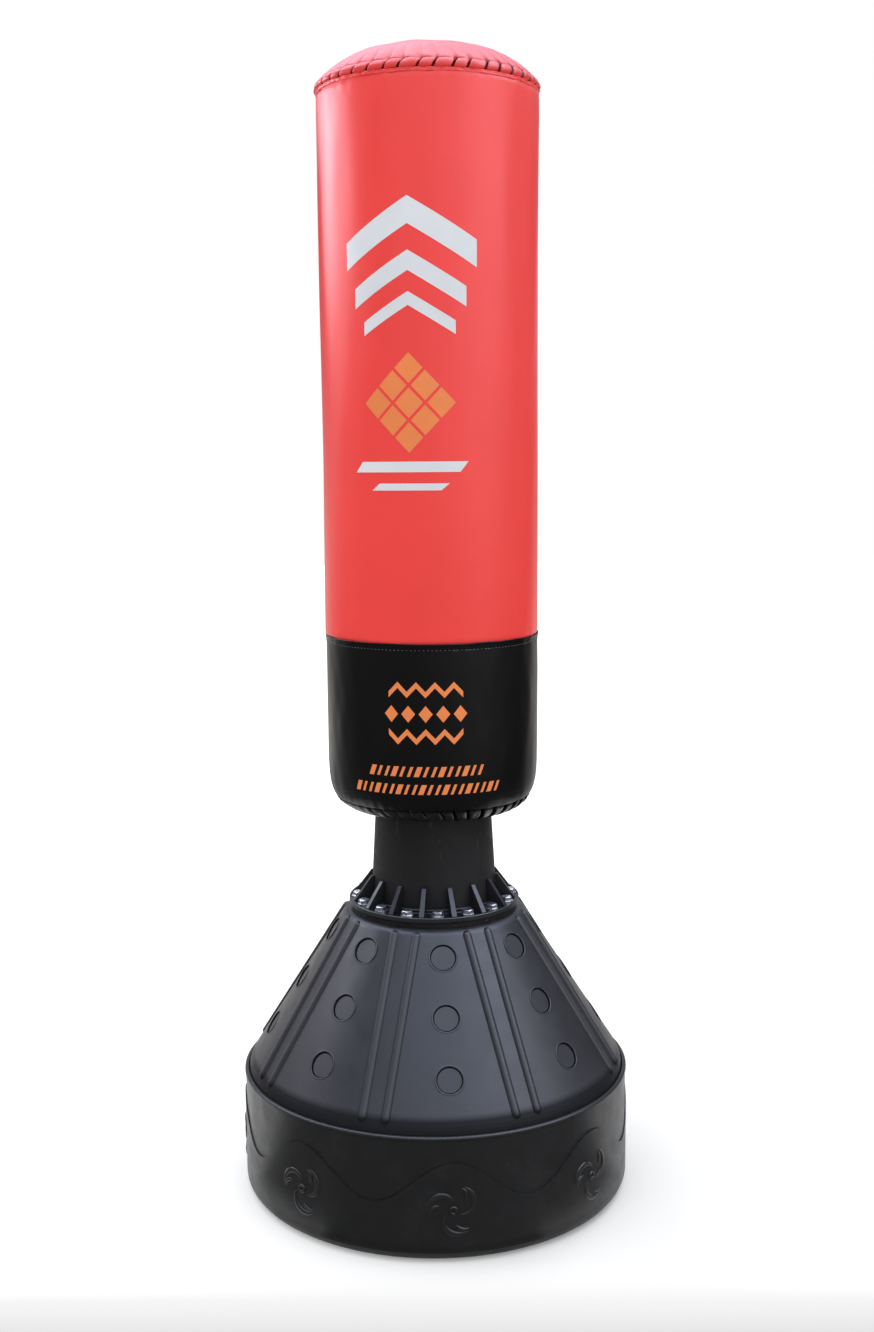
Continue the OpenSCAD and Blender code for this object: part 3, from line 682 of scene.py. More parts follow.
def bead_mesh(lines, rise, radius, middle_z, step=0.0022, root=0.0012):
    """Half-round beads along flat lines, wrapped on the front of a cylinder."""
    points, faces = [], []
    section = np.radians(np.linspace(0, 180, 7))
    for line, width, closed in lines:
        q = resample(line, closed, step)
        n = len(q)
        tangent = np.roll(q, -1, 0) - np.roll(q, 1, 0) if closed else np.gradient(q, axis=0)
        tangent /= np.linalg.norm(tangent, axis=1)[:, None]
        side = np.stack([-tangent[:, 1], tangent[:, 0]], -1)
        taper = np.clip(np.sin(math.pi * (np.arange(n) + 0.3) / (n - 0.4)) ** 0.7, 0.1, 1)
        if closed:
            taper = np.ones(n)
        faces += tube_faces(len(points), n, len(section) + 2, closed)
        for i in range(n):
            wide, high = width * taper[i], rise * taper[i]
            ring = [(math.cos(s) * wide, math.sin(s) * high) for s in section]
            for off, up in ring + [(-wide, -root), (wide, -root)]:
                x, z = q[i] + side[i] * off
                points.append(polar(radius + up, math.degrees(x / radius), middle_z + z))
    return points, faces


def node_group(name, inputs):
    """A Geometry Nodes tree with a geometry in and out, and the named inputs (name, kind of
    socket, default). Returns its nodes and the sockets that carry the inputs."""
    tree = bpy.data.node_groups.new(name, "GeometryNodeTree")
    for label, kind, default in (("Geometry", "Geometry", None), *inputs):
        socket = tree.interface.new_socket(label, in_out="INPUT", socket_type="NodeSocket" + kind)
        if default is not None:
            socket.default_value = default
    tree.interface.new_socket("Geometry", in_out="OUTPUT", socket_type="NodeSocketGeometry")
    g = Nodes(tree)
    return g, g.add("NodeGroupInput").outputs


def end_with_copies(g, given, points, shape, **inputs):
    """Ends a tree: a copy of the shape on each point, made real and given its material."""
    copies = g.add("GeometryNodeInstanceOnPoints", {"Points": points, "Instance": shape, **inputs})
    real = g.add("GeometryNodeRealizeInstances", {0: copies.outputs["Instances"]})
    paint = g.add("GeometryNodeSetMaterial", {
        "Geometry": real.outputs["Geometry"], "Material": given["Material"]})
    g.end("NodeGroupOutput", paint)
    return g.tree


def run_nodes(piece, tree, values):
    """Adds the tree to a piece, sets its inputs by identifier and returns the finished plain
    mesh. The piece itself goes."""
    modifier = piece.modifiers.new("build", "NODES")
    modifier.node_group = tree
    ids = {s.name: s.identifier for s in tree.interface.items_tree if s.in_out == "INPUT"}
    for label, value in values.items():
        modifier[ids[label]] = value
    bpy.context.view_layer.update()
    graph = bpy.context.evaluated_depsgraph_get()
    mesh = bpy.data.meshes.new_from_object(piece.evaluated_get(graph))
    piece.modifiers.remove(modifier)
    bpy.data.objects.remove(piece)
    return mesh


def repeat_round(name):
    """Geometry Nodes: copies a shape round the Z axis, a whole number of times."""
    g, given = node_group(name, (
        ("Count", "Int", 8), ("First turn", "Float", 0.0), ("Material", "Material", None)))
    line = g.add("GeometryNodeMeshLine", {"Count": given["Count"], "Offset": (0, 0, 0)})
    step = g.calc("DIVIDE", 2 * math.pi, given["Count"])
    index = g.add("GeometryNodeInputIndex").outputs[0]
    turn = g.calc("MULTIPLY_ADD", index, step, given["First turn"])
    spin = g.add("ShaderNodeCombineXYZ", {"Z": turn}).outputs[0]
    return end_with_copies(g, given, line.outputs["Mesh"], given["Geometry"], Rotation=spin)


# Crests of the tank's wave line, and sides of the cone with discs
CRESTS = 8


class BAG_OT_tank_motifs(StepBase, bpy.types.Operator):
    """Raises a small swirl under each crest of the tank's wave line"""

    bl_idname = "punchbag.tank_motifs"
    bl_label = "Raise the tank motifs"

    def build(self, context):
        b = context.scene.bag_base
        points, faces = bead_mesh(swirl_lines(b.motif_size), b.motif_rise, DRUM_R, b.motif_z)
        # painted light: the swirls take the tank's plastic 1.3 times lighter and more specular, so
        # that they stand out as lit
        plastic = moulded_plastic("motif_plastic", tone(tuple(b.tank), 1.3), 0.27, 0.38, 0.55, 0.1)
        pattern = make_piece("motif_pattern", points, faces, plastic)
        mesh = run_nodes(pattern, repeat_round("motifs_round_tank"),
                         {"Count": CRESTS, "First turn": 0.0, "Material": plastic})
        piece = add_object("tank_motifs", mesh, body="base", sharp=50)


# The cone's face: its slope in degrees, and its radius at a height, widening downwards
CONE_SLOPE = 32.81
CONE_R, CONE_Z, CONE_SPREAD = 139.5, 442, 0.64464
# The recessed discs: their heights, and the side and height where the port is instead of one
DISC_HEIGHTS = (407, 331, 256)
PORT_PLACE = (4, 331)
# Sections of a disc's rim and of the black ring inside it that paints the recess's shade: radius,
# and height out of the cone
RIM_LINE = ((22.3, -0.25), (22.2, 0.0), (21.5, 0.13), (20.8, 0.18), (20.2, 0.12), (19.7, -0.1),
            (19.4, -0.45), (19.3, -1.2), (19.3, -2.5), (20.6, -2.6))
SHADE_RING_LINE = ((19.45, -0.35), (19.1, -0.55), (18.9, -0.9), (18.6, -1.9), (17.9, -2.38),
            (17.9, -2.5), (19.4, -2.5))


class BAG_OT_disc_rims(StepBase, bpy.types.Operator):
    """Rounds the rims of the base cover's recessed discs and lines each recess with a black ring of
    painted shade
    """

    bl_idname = "punchbag.disc_rims"
    bl_label = "Round the disc rims"

    def build(self, context):
        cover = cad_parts["base_cone"].material_slots[0].material
        # painted shade: a matt black ring lines each recess where its wall lies in shade
        gap = matt_rubber("disc_gap", (0.002, 0.002, 0.002), 0.8, 0.9, 0.0, 0.05)
        for name, material, line in (("disc_rims", cover, RIM_LINE), ("disc_shade_rings", gap, SHADE_RING_LINE)):
            points, faces = self.rings(line)
            piece = make_piece(name, points, faces, material, "base", sharp=60)

    def rings(self, line):
        a = np.radians(around(48))[:, None]
        slope = math.radians(CONE_SLOPE)
        points, faces = [], []
        for side in range(CRESTS):
            turn = 360 / CRESTS * side
            out = polar(math.cos(slope), turn, math.sin(slope))
            across = polar(1, turn + 90, 0)
            rise = np.cross(out, across)
            for z in DISC_HEIGHTS:
                if (side, z) == PORT_PLACE:
                    continue
                middle = polar((CONE_R + (CONE_Z - z) * CONE_SPREAD) * MM, turn, z * MM)
                faces += tube_faces(len(points), len(line), len(a), closed=True)
                for r, h in line:
                    ring = r * (np.cos(a) * across + np.sin(a) * rise) + h * out
                    points += list(middle + MM * ring)
        return points, faces


# Where the neck's two lengths meet, and a span of height on either side of that joint for each of
# them
NECK_SPLIT = 0.551
NECK_BENDS = ((0.498, 0.550), (0.552, 0.602))
# Heights of the cuts round the neck
NECK_CUTS = np.arange(0.463, 0.601, 0.006)


class BAG_OT_neck(StepBase, bpy.types.Operator):
    """Makes the flexible neck in two lengths, cut into rings and split where they meet"""

    bl_idname = "punchbag.neck"
    bl_label = "Make the flexible neck"

    def build(self, context):
        colour = tuple(context.scene.bag_base.neck)
        rubber = matt_rubber("neck_rubber", colour, 0.50, 0.66, 0.35, 0.28)
        for name, side, pair, (start, end) in (
                ("neck_lower", 1, ("base", "neck"), NECK_BENDS[0]),
                ("neck_upper", -1, ("neck", "bag"), NECK_BENDS[1])):
            work = merged_copy("neck_column")
            for z in NECK_CUTS:
                self.cut(work, z)
            ends = self.cut(work, NECK_SPLIT, side, clear_outer=True)
            bmesh.ops.bridge_loops(
                work, edges=[e for e in ends if isinstance(e, bmesh.types.BMEdge)])
            bmesh.ops.recalc_face_normals(work, faces=work.faces)
            piece = reworked_piece(name, work, rubber)
            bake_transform(piece)
            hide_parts("neck_column")

    def cut(self, work, z, side=1, **extra):
        geometry = work.verts[:] + work.edges[:] + work.faces[:]
        return bmesh.ops.bisect_plane(work, geom=geometry, plane_co=(0, 0, z),
                                      plane_no=(0, 0, side), dist=1e-6, **extra)["geom_cut"]


# Each foam layer: node, piece, and how far it is drawn in under its cover
FOAM_LAYERS = (("inner_foam", "foam_wrap", 0.0), ("outer_foam", "foam_sleeve", 0.0012),
               ("top_foam", "foam_crown", 0.0030))
# The outer layer's foot is lifted off the gathers, fading out from this height upwards
FOAM_LIFT, FOAM_FREE_Z, FOAM_FADE = 0.0045, 0.68, 0.05


class BAG_OT_foam(StepBase, bpy.types.Operator):
    """Makes the foam layers round the core"""

    bl_idname = "punchbag.foam"
    bl_label = "Make the foam layers"

    def build(self, context):
        foam = open_foam("padding_foam", (0.80, 0.77, 0.66))
        for node, name, shrink in FOAM_LAYERS:
            work = merged_copy(node)
            radius = max(math.hypot(v.co.x, v.co.y) for v in work.verts)
            low = min(v.co.z for v in work.verts)
            for v in work.verts:
                r = math.hypot(v.co.x, v.co.y)
                if r > 1e-4:
                    turn = math.degrees(math.atan2(v.co.x, -v.co.y))
                    uneven = 0.0003 * float(ripple(turn, v.co.z, 71, 6, (3, 14), (1, 6)))
                    pull = max(0, shrink * r / radius + uneven)
                    v.co.x *= 1 - pull / r
                    v.co.y *= 1 - pull / r
                if node == "top_foam" and v.co.z > low + 0.03:
                    v.co.z -= shrink
                if node == "outer_foam":
                    v.co.z += FOAM_LIFT * float(ease((FOAM_FREE_Z - v.co.z) / FOAM_FADE))
            piece = reworked_piece(name, work, foam, "bag")
            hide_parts(node)


# Heights of the sleeve's rings, closer together near its two seams
SLEEVE_RINGS = np.concatenate([np.linspace(SLEEVE_LOW, 0.90, 14), np.linspace(0.912, 1.632, 82),
                               np.linspace(1.638, SLEEVE_TOP, 18)])


class BAG_OT_sleeve(StepBase, bpy.types.Operator):
    """Makes the red sleeve that wraps the bag"""

    bl_idname = "punchbag.sleeve"
    bl_label = "Make the sleeve"

    def build(self, context):
        wall = context.scene.bag_cover.thickness
        outer, inner = around(360), around(90)
        rows = [polar(sleeve_radius(outer, z), outer, z) for z in SLEEVE_RINGS]
        rows += [polar(sleeve_radius(inner, z) - wall, inner, z)
                 for z in np.linspace(SLEEVE_TOP, SLEEVE_LOW, 30)]
        z = np.concatenate(rows)[:, 2]
        # painted shade along the sleeve's top seam and its foot at the skirt's fold
        dark = (0.40 * np.exp(-np.abs(SLEEVE_TOP - z) / 0.0018)
                + 0.30 * np.exp(-np.abs(z - BINDING_TOP) / 0.0016))
        piece = lathe_piece("red_sleeve", rows, leather("red_leather"), [dark], sharp=40)
        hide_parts("cover_sleeve")


# Section of the domed top from the seam to the apex: height above the seam, radius
TOP_LINE = ((0.0035, 0.1612), (0.0046, 0.1648), (0.0058, 0.1665), (0.0085, 0.1668),
            (0.0112, 0.1660), (0.0140, 0.1640), (0.0160, 0.1614), (0.0170, 0.1594),
            (0.0182, 0.1586), (0.0232, 0.1546), (0.0292, 0.1479), (0.0352, 0.1402),
            (0.0412, 0.1312), (0.0472, 0.1203), (0.0532, 0.1065), (0.0590, 0.0880),
            (0.0634, 0.0680), (0.0664, 0.0450), (0.0684, 0.0220), (0.0690, 0.0))
ROLL_TOP = 0.0170
# Distances along that section at which the rings grow wider apart: past the roll, on the dome
PAST_ROLL, ON_DOME = 0.002, 0.075
# Rings inside these radii need only every fourth and every eighth point
SPARSE_R, SPARSER_R = 0.095, 0.05
# The groove between the roll and the dome: its half width and depth
GROOVE_WIDE, GROOVE_DEEP = 0.0010, 0.0014
# How far a pleat swells and how far it slopes, on the roll and on the dome
SWELL, SLOPE = (0.0014, 0.0012), (0.0015, 0.0020)
# Distances over which the pleats fade on the dome: their shadow, their depth and their swell
FADE_DEEP, FADE_RUN, FADE_FULL = 0.004, 0.022, 0.028
# The lining's seam ring, and how far the lining lies inside the leather and below it
LINING_R, LINING_IN, LINING_DOWN = 0.1590, 0.0062, 0.0045


class BAG_OT_domed_top(StepBase, bpy.types.Operator):
    """Makes the domed top with its padded, pleated roll"""

    bl_idname = "punchbag.domed_top"
    bl_label = "Make the pleated top"

    def build(self, context):
        c = context.scene.bag_cover
        turn = around(c.pleats * 24)
        section = spread_profile(TOP_LINE, 150)
        length = path_length(section)
        roll_at = np.interp(ROLL_TOP, section[:110, 0], length[:110])
        rows, values = self.lining(section, length, turn[::8])
        # painted shade: the lining's seam ring is fully dark
        rows.append(polar(LINING_R, turn, SEAM_Z + 0.0030))
        values.append(np.ones(len(turn)))
        shoulder = roll_at + PAST_ROLL
        for s in np.concatenate([np.linspace(a, b, n)[:-1] for a, b, n in (
                (0, shoulder, 22), (shoulder, ON_DOME, 26), (ON_DOME, length[-1], 22))]):
            z0, r0 = points_at(s, length, section)
            lift, dark = self.pleats(c, turn, s, r0, roll_at)
            dz, dr = (points_at(s + MM / 2, length, section)
                      - points_at(max(0, s - MM / 2), length, section))
            size = math.hypot(dz, dr)
            pick = slice(None, None, 8 if r0 < SPARSER_R else 4 if r0 < SPARSE_R else 1)
            lift = lift[pick]
            rows.append(polar(r0 + dz / size * lift, turn[pick], SEAM_Z + z0 - dr / size * lift))
            values.append(dark[pick])
        rows.append(np.array([[0, 0, SEAM_Z + section[-1, 0]]]))
        values.append(np.zeros(1))
        piece = lathe_piece("domed_top", rows, leather("dome_leather"), values, wrap=False)
        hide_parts("cover_dome", "top_roll")

    def lining(self, section, length, turn):
        """The inner side, from its own pole down to the seam."""
        rows = [np.array([[0, 0, SEAM_Z + section[-1, 0] - LINING_DOWN - 0.0003]])]
        for s in np.linspace(0.004, length[-1] - 0.004, 26)[::-1]:
            z0, r0 = points_at(s, length, section)
            r0 = min(r0, 0.1610)
            r0 = max(r0 * (1 - LINING_IN / max(r0, 0.02)), 0.004)
            rows.append(polar(r0, turn, SEAM_Z + z0 - LINING_DOWN))
        return rows, [np.zeros(len(row)) for row in rows]

    def pleats(self, c, turn, s, r0, roll_at):
        """How far each point of a ring stands proud, and how much painted shade it takes in the
        notches, the groove and at the seam.
        """
        up, past = s / roll_at, max(0.0, s - roll_at)
        lean = c.lean * min(1.0, up) ** 1.4
        left, right, place, depth, run = pleat_field(turn, lean, c.pleats, 5, max(r0, 0.05))
        swell = 1 - np.abs(2 * place - 1) ** 2.6
        slope = 0.5 - place
        if up <= 1.0:
            cut = notch_cut(left, right, 0.0013 + 0.0002 * up, 1.2, 1.8, depth)
            lift = -c.notch * cut + SWELL[0] * swell + SLOPE[0] * slope
            lift = lift * min(1.0, 0.4 + up * 1.2)
            dark = np.clip(cut * 2.4 - 0.1, 0, 1)
        else:
            near = math.exp(-past / FADE_DEEP)
            depth = [d * np.exp(-past / (FADE_RUN * r)) for d, r in zip(depth, run)]
            cut = notch_cut(left, right, 0.0013 + past * 0.09, 1.8, 1.5, depth)
            lift = (-c.notch * (0.40 + 0.60 * near) * cut
                    + (SWELL[1] * swell + SLOPE[1] * slope) * math.exp(-past / FADE_FULL))
            dark = np.clip(cut * (0.20 + 1.0 * near), 0, 1)
        crest = 0.0009 * (swell - 0.55)
        groove = np.exp(-((s - roll_at - crest) / GROOVE_WIDE) ** 2)
        groove = groove * np.clip(1.25 - 1.1 * place, 0.2, 1)
        lift = lift - GROOVE_DEEP * groove
        # folds of the dome, which die out at the apex
        broad = ripple(turn, s * 2, 7, 9, (3, 9), (2, 9)) * min(1, 0.3 + past * 30)
        small = ripple(turn, s, 8, 12, (20, 60), (5, 50)) * math.exp(-past / 0.02)
        lift = float(ease(r0 / 0.03)) * (lift + 0.0006 * broad + 0.0003 * small)
        # painted shade in the notches, in the groove above the roll and at the roll's foot by the
        # seam
        return lift, np.clip(dark + 0.9 * groove + 0.95 * math.exp(-s / 0.0017), 0, 1)


# Radius of the welt's face and of its hidden back, and its lowest and highest point
WELT_R, WELT_BACK_R = 0.1651, 0.1606
WELT_LOW, WELT_HIGH = SEAM_Z - 0.0012, SEAM_Z + 0.0048
# Section of the welt: share of its height, and how far it stands out
WELT_LINE = ((0.0, -0.0018), (0.03, 0.0001), (0.10, 0.0007), (0.25, 0.0007), (0.42, 0.0002),
             (0.58, 0.0006), (0.74, 0.0008), (0.88, 0.0002), (1.0, -0.0026))


def seam_wander(turn):
    """How far the seam under the roll strays up and down."""
    return 0.0005 * ripple(turn, 0, 21, 10, (9, 44), (0, 1))


class BAG_OT_top_welt(StepBase, bpy.types.Operator):
    """Makes the flat sewn welt between the roll and the sleeve"""

    bl_idname = "punchbag.top_welt"
    bl_label = "Make the top welt"

    def build(self, context):
        turn = around(context.scene.bag_cover.pleats * 26)
        high = WELT_HIGH - WELT_LOW
        wander = seam_wander(turn)
        rows, values = [], []
        for t, out in WELT_LINE:
            crumple = 0.00042 * ripple(turn, 0.004 * t, 22, 22, (16, 90), (20, 160))
            r = WELT_R + out + crumple * math.sin(math.pi * t) ** 0.5
            rows.append(polar(r, turn, WELT_LOW + high * t + wander * (1 - 0.4 * t)))
            # painted shade at the welt's top and foot and in the troughs of its crumples
            values.append(np.clip(0.9 * (t > 0.93) + 0.7 * (t < 0.02) - crumple * 300, 0, 1))
        # painted shade: the welt's hidden back is fully dark
        for t in (1.0, 0.0):
            rows.append(polar(WELT_BACK_R, turn, WELT_LOW + high * t + wander * 0.2))
            values.append(np.ones(len(turn)))
        piece = lathe_piece("top_welt", rows, leather("red_leather"), values)


# Section of the skirt's folded top edge: height above its foot in metres, and how far it
# stands out of the skirt in millimetres
FOLD_LINE = ((0.0000, -0.70), (0.0028, -0.20), (0.0052, 0.06), (0.0062, 0.14), (0.0069, 0.02),
             (0.0077, 0.18), (0.0092, 0.46), (0.0110, 0.80), (0.0114, 0.74), (0.0119, 0.88),
             (0.0138, 1.12), (0.0156, 1.42), (0.0165, 1.50), (0.0170, 1.24), (0.0171, 0.85),
             (0.0165, 0.30), (0.0150, -0.30), (0.0050, -1.30))
FOLD_HEIGHT = 0.017
# Height at which the fold and its stitches take the skirt's radius
FOLD_ROOT = BINDING_LOW + 0.001
# Rows of the fold's section that are painted with shade, as in its grooves
FOLD_GROOVES = (4, 8)
# Section of the gathers from the skirt's edge to the neck: height, radius
GATHER_LINE = ((0.6335, 0.1535), (0.6294, 0.1530), (0.6248, 0.1511), (0.6182, 0.1450),
               (0.6116, 0.1360), (0.6070, 0.1255), (0.6042, 0.1150), (0.6034, 0.1068),
               (0.6036, 0.1035))
# The sunk line along the gathers' edge, also painted with shade: its place along that section, its
# half width and its depth
EDGE_AT, EDGE_WIDE, EDGE_DEEP = 0.11, 0.035, 0.0011
# The gathers: how far a fold turns on its way in, in degrees, the depth of the gap between two
# folds, and how far the right side sags
GATHER_TURN, GATHER_NOTCH, GATHER_SAG = 7.0, 0.0040, 0.0016


class BAG_OT_skirt(StepBase, bpy.types.Operator):
    """Makes the black skirt, its folded top edge and its gathered bottom"""

    bl_idname = "punchbag.skirt"
    bl_label = "Make the skirt"

    def build(self, context):
        c = context.scene.bag_cover
        wall = c.thickness * 0.7 + 0.0008
        outer, inner = around(720), around(120)
        heights = np.concatenate([np.linspace(SKIRT_UP, SKIRT_STRAIGHT, 36),
                                  np.linspace(SKIRT_STRAIGHT - 0.003, SKIRT_EDGE, 26)])
        rows = [polar(skirt_radius(outer, z), outer, z) for z in heights]
        values = [np.zeros(len(outer))] * len(rows)
        last = skirt_radius(outer, SKIRT_EDGE)
        # painted shade: the edge rolls under, darker on its inner row
        for pull, drop, dark in ((0.0008, 0.0011, 0.35), (0.0022, 0.0008, 0.9)):
            rows.append(polar(last - pull, outer, SKIRT_EDGE - drop))
            values.append(np.full(len(outer), dark))
        for z in np.linspace(SKIRT_EDGE + 0.001, SKIRT_UP, 24):
            rows.append(polar(skirt_radius(inner, z) - wall, inner, z))
            values.append(np.zeros(len(inner)))
        piece = lathe_piece("black_skirt", rows, leather("black_leather"), values)
        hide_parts("skirt")
        self.binding()
        self.gathers(c)

    def binding(self):
        turn = around(1080)
        wander = 0.0004 * ripple(turn, 0, 41, 8, (4, 20), (0, 1))
        flare = 0.0003 * ripple(turn, 0, 43, 6, (2, 7), (0, 1))
        base = skirt_radius(turn, FOLD_ROOT)
        rows, values = [], []
        for i, (h, out) in enumerate(FOLD_LINE):
            share = h / FOLD_HEIGHT
            crumple = 0.00020 * ripple(turn, BINDING_LOW + h, 42, 14, (14, 70), (4, 60))
            r = base + out * MM + crumple * share * (1 if i < 14 else 0.5) + flare * share
            rows.append(polar(r, turn, BINDING_LOW + h * 0.94 + wander * share))
            # painted shade in the fold's grooves
            values.append(np.full(len(turn), 0.6 if i in FOLD_GROOVES else 0.0))
        piece = lathe_piece("skirt_top_fold", rows, leather("black_leather"), values)
        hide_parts("skirt_binding")

    def gathers(self, c):
        turn = around(c.pleats * 22)
        section = spread_profile(GATHER_LINE, 34)
        last = len(section) - 1
        rows, values = [], []
        for k, (z0, r0) in enumerate(section):
            t = k / last
            dz, dr = section[min(last, k + 1)] - section[max(0, k - 1)]
            size = math.hypot(dz, dr)
            left, right, place, depth, _ = pleat_field(turn, GATHER_TURN * t, c.pleats, 15, r0)
            wide = 0.0016 * math.sin(math.pi * min(1, t + 0.12)) ** 0.5 + 0.0006
            cut = notch_cut(left, right, wide, 1.2, 2.4, depth)
            swell = 1 - np.abs(2 * place - 1) ** 3
            grow = float(ease(t / 0.10))
            lift = grow * (-GATHER_NOTCH * cut + 0.0007 * swell + 0.0028 * (0.5 - place)
                           + 0.00035 * ripple(turn, t * 0.05, 16, 12, (18, 90), (4, 40)))
            edge = math.exp(-((t - EDGE_AT) / EDGE_WIDE) ** 2)
            lift = lift * (1 - 0.45 * t) - EDGE_DEEP * edge
            sag = -GATHER_SAG * np.sin(np.radians(turn)) * math.sin(math.pi * t)
            rows.append(polar(r0 - dz / size * lift, turn, z0 + dr / size * lift + sag))
            # painted shade in the gaps between the folds and along the sunk edge line
            values.append(np.clip(1.5 * cut * grow + 0.9 * edge, 0, 1))
        for k in range(last, -1, -3):
            z0, r0 = section[k]
            z0 = z0 + 0.0075 - 0.004 * (k < 6)
            rows.append(polar(min(r0, 0.1500) - 0.001, turn[::4], z0))
            values.append(np.zeros(len(rows[-1])))
        piece = lathe_piece("gathered_bottom", rows, leather("gather_leather"), values)


class BAG_OT_hem(StepBase, bpy.types.Operator):
    """Makes the gathered hem round the neck and the drawcord inside it"""

    bl_idname = "punchbag.hem"
    bl_label = "Make the hem and its drawcord"

    def build(self, context):
        pleats = context.scene.bag_cover.pleats
        turn = around(pleats * 20)
        middle_z = (HEM_LOW + HEM_TOP) / 2
        section = (HEM_TOP - HEM_LOW) / 2
        ring = HEM_R - section
        rows, values = [], []
        for a in np.radians(around(20)):
            left, right = pleat_field(turn, 2.0 * math.sin(a), pleats * 2, 25, ring)[:2]
            cut = notch_cut(left, right, 0.0011, 1, 1.4)
            uneven = 0.05 * ripple(turn, a * 0.01, 26, 8, (20, 60), (1, 9))
            size = section * (0.98 - 0.24 * cut + uneven)
            rows.append(polar(ring + size * math.cos(a), turn, middle_z + size * math.sin(a)))
            # painted shade in the notches between the hem's gathers
            values.append(np.clip(cut, 0, 1) * 0.8)
        piece = lathe_piece("gathered_hem", rows, leather("black_leather"), values)
        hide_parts("skirt_hem")
        section = (CORD_TOP - CORD_LOW) / 2
        ring = CORD_R - section
        turn = around(720)
        strands = 120
        rows = []
        for a in around(24):
            twist = (np.cos(np.radians(turn * strands + a * 4))
                     * np.cos(np.radians(turn * strands - a * 4)))
            size = section * 0.92 * (1 + 0.07 * twist)
            a = math.radians(a)
            rows.append(polar(ring + size * math.cos(a), turn, middle_z + size * math.sin(a)))
        braid = braided_cord("cord_braid", (0.012, 0.012, 0.013))
        cord = lathe_piece("hem_cord", rows, braid, sharp=40)
        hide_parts("hem_drawcord")


# Section of a lapped seam: place across it from -1 to 1, and how far it stands proud in
# millimetres. The last two points are its underside.
SEAM_ACROSS = np.array([-1.0, -0.985, -0.93, -0.8, -0.62, -0.3, 0, 0.3, 0.62, 0.8, 0.93, 0.985,
                        1.0, 1.0, -1.0])
SEAM_PROUD = np.array([-0.6, 0.35, 0.85, 1.0, 0.72, 0.9, 0.8, 0.9, 0.72, 1.0, 0.85, 0.35, -0.6,
                       -1.2, -1.2])


# Lowest and highest point of the two seams
SLEEVE_SEAM, SKIRT_SEAM = (BINDING_TOP + 0.0008, 1.6768), (0.640, BINDING_LOW - 0.0004)


def seam_strip(name, radius_at, low, high, half, material):
    """A lapped strip of leather down the back, a little proud, with soft edges."""
    z = np.arange(low, high, 0.004)[:, None]
    turn = 180 + np.degrees(SEAM_ACROSS * half / SEAM_R)
    wobble = 0.16 * ripple(turn * 6, z, 51, 8, (2, 9), (8, 60)) * (np.abs(SEAM_ACROSS) < 0.95)
    points = polar(radius_at(turn, z) + (SEAM_PROUD + wobble) * MM, turn, z).reshape(-1, 3)
    faces = tube_faces(0, len(z), len(SEAM_ACROSS))
    piece = make_piece(name, points, faces, material, "bag", sharp=50)
    add_values(piece, "crease_shade", np.zeros(len(points)))
    return piece


class BAG_OT_back_seams(StepBase, bpy.types.Operator):
    """Makes the lapped seams down the back of the sleeve and the skirt"""

    bl_idname = "punchbag.back_seams"
    bl_label = "Make the back seams"

    def build(self, context):
        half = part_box("sleeve_back_seam")[1][0]
        for name, radius_at, span, node, slot in (
                ("sleeve_lap_seam", sleeve_radius, SLEEVE_SEAM, "sleeve_back_seam", "red_leather"),
                ("skirt_lap_seam", skirt_radius, SKIRT_SEAM, "skirt_back_seam", "black_leather")):
            piece = seam_strip(name, radius_at, *span, half, leather(slot))
            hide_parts(node)


def stitch_nodes(name):
    """Geometry Nodes: lays a row of stitches along a line, one every pitch, each a short
    rounded length of thread."""
    g, given = node_group(name, (
        ("Pitch", "Float", 0.006), ("Stitch length", "Float", 0.0036),
        ("Thread radius", "Float", 0.0005), ("Seed", "Int", 3), ("Material", "Material", None)))
    line = g.add("GeometryNodeMeshToCurve", {"Mesh": given["Geometry"]})
    dots = g.add("GeometryNodeCurveToPoints",
                 {"Curve": line.outputs["Curve"], "Length": given["Pitch"]}, mode="LENGTH")
    face = g.add("FunctionNodeAlignRotationToVector", {"Vector": dots.outputs["Tangent"]}, axis="X")
    ball = g.add("GeometryNodeMeshUVSphere", {"Segments": 6, "Rings": 5, "Radius": 1.0})
    vary = g.add("FunctionNodeRandomValue", {2: 0.82, 3: 1.08, "Seed": given["Seed"]})
    half = g.calc("MULTIPLY", given["Stitch length"], 0.5)
    size = g.add("ShaderNodeCombineXYZ", {
        "X": g.calc("MULTIPLY", half, vary.outputs[1]),
        "Y": given["Thread radius"], "Z": given["Thread radius"]})
    return end_with_copies(g, given, dots.outputs["Points"], ball.outputs["Mesh"],
                           Rotation=face.outputs[0], Scale=size.outputs[0])


# How far the two stitch rows beside a back seam stand from its middle, and out of the skin
LAP, LAP_RISE = 0.0078, 0.00075
# Between these heights those rows are sewn, with a point of the path at every step
SLEEVE_SEWN, SKIRT_SEWN = (BINDING_TOP + 0.004, 1.674), (0.645, BINDING_LOW - 0.003)
SEWN_STEP = 0.006
# Share of the thread's radius that the sleeve's thread has
THIN_THREAD = 0.62
# The row along the skirt's fold: its height, and how far it stands out of the skirt
FOLD_SEWN, FOLD_RISE = BINDING_LOW + 0.0066, 0.00024
# Radius and height of the row along the welt
WELT_SEWN_R, WELT_SEWN = 0.16555, SEAM_Z - 0.0002


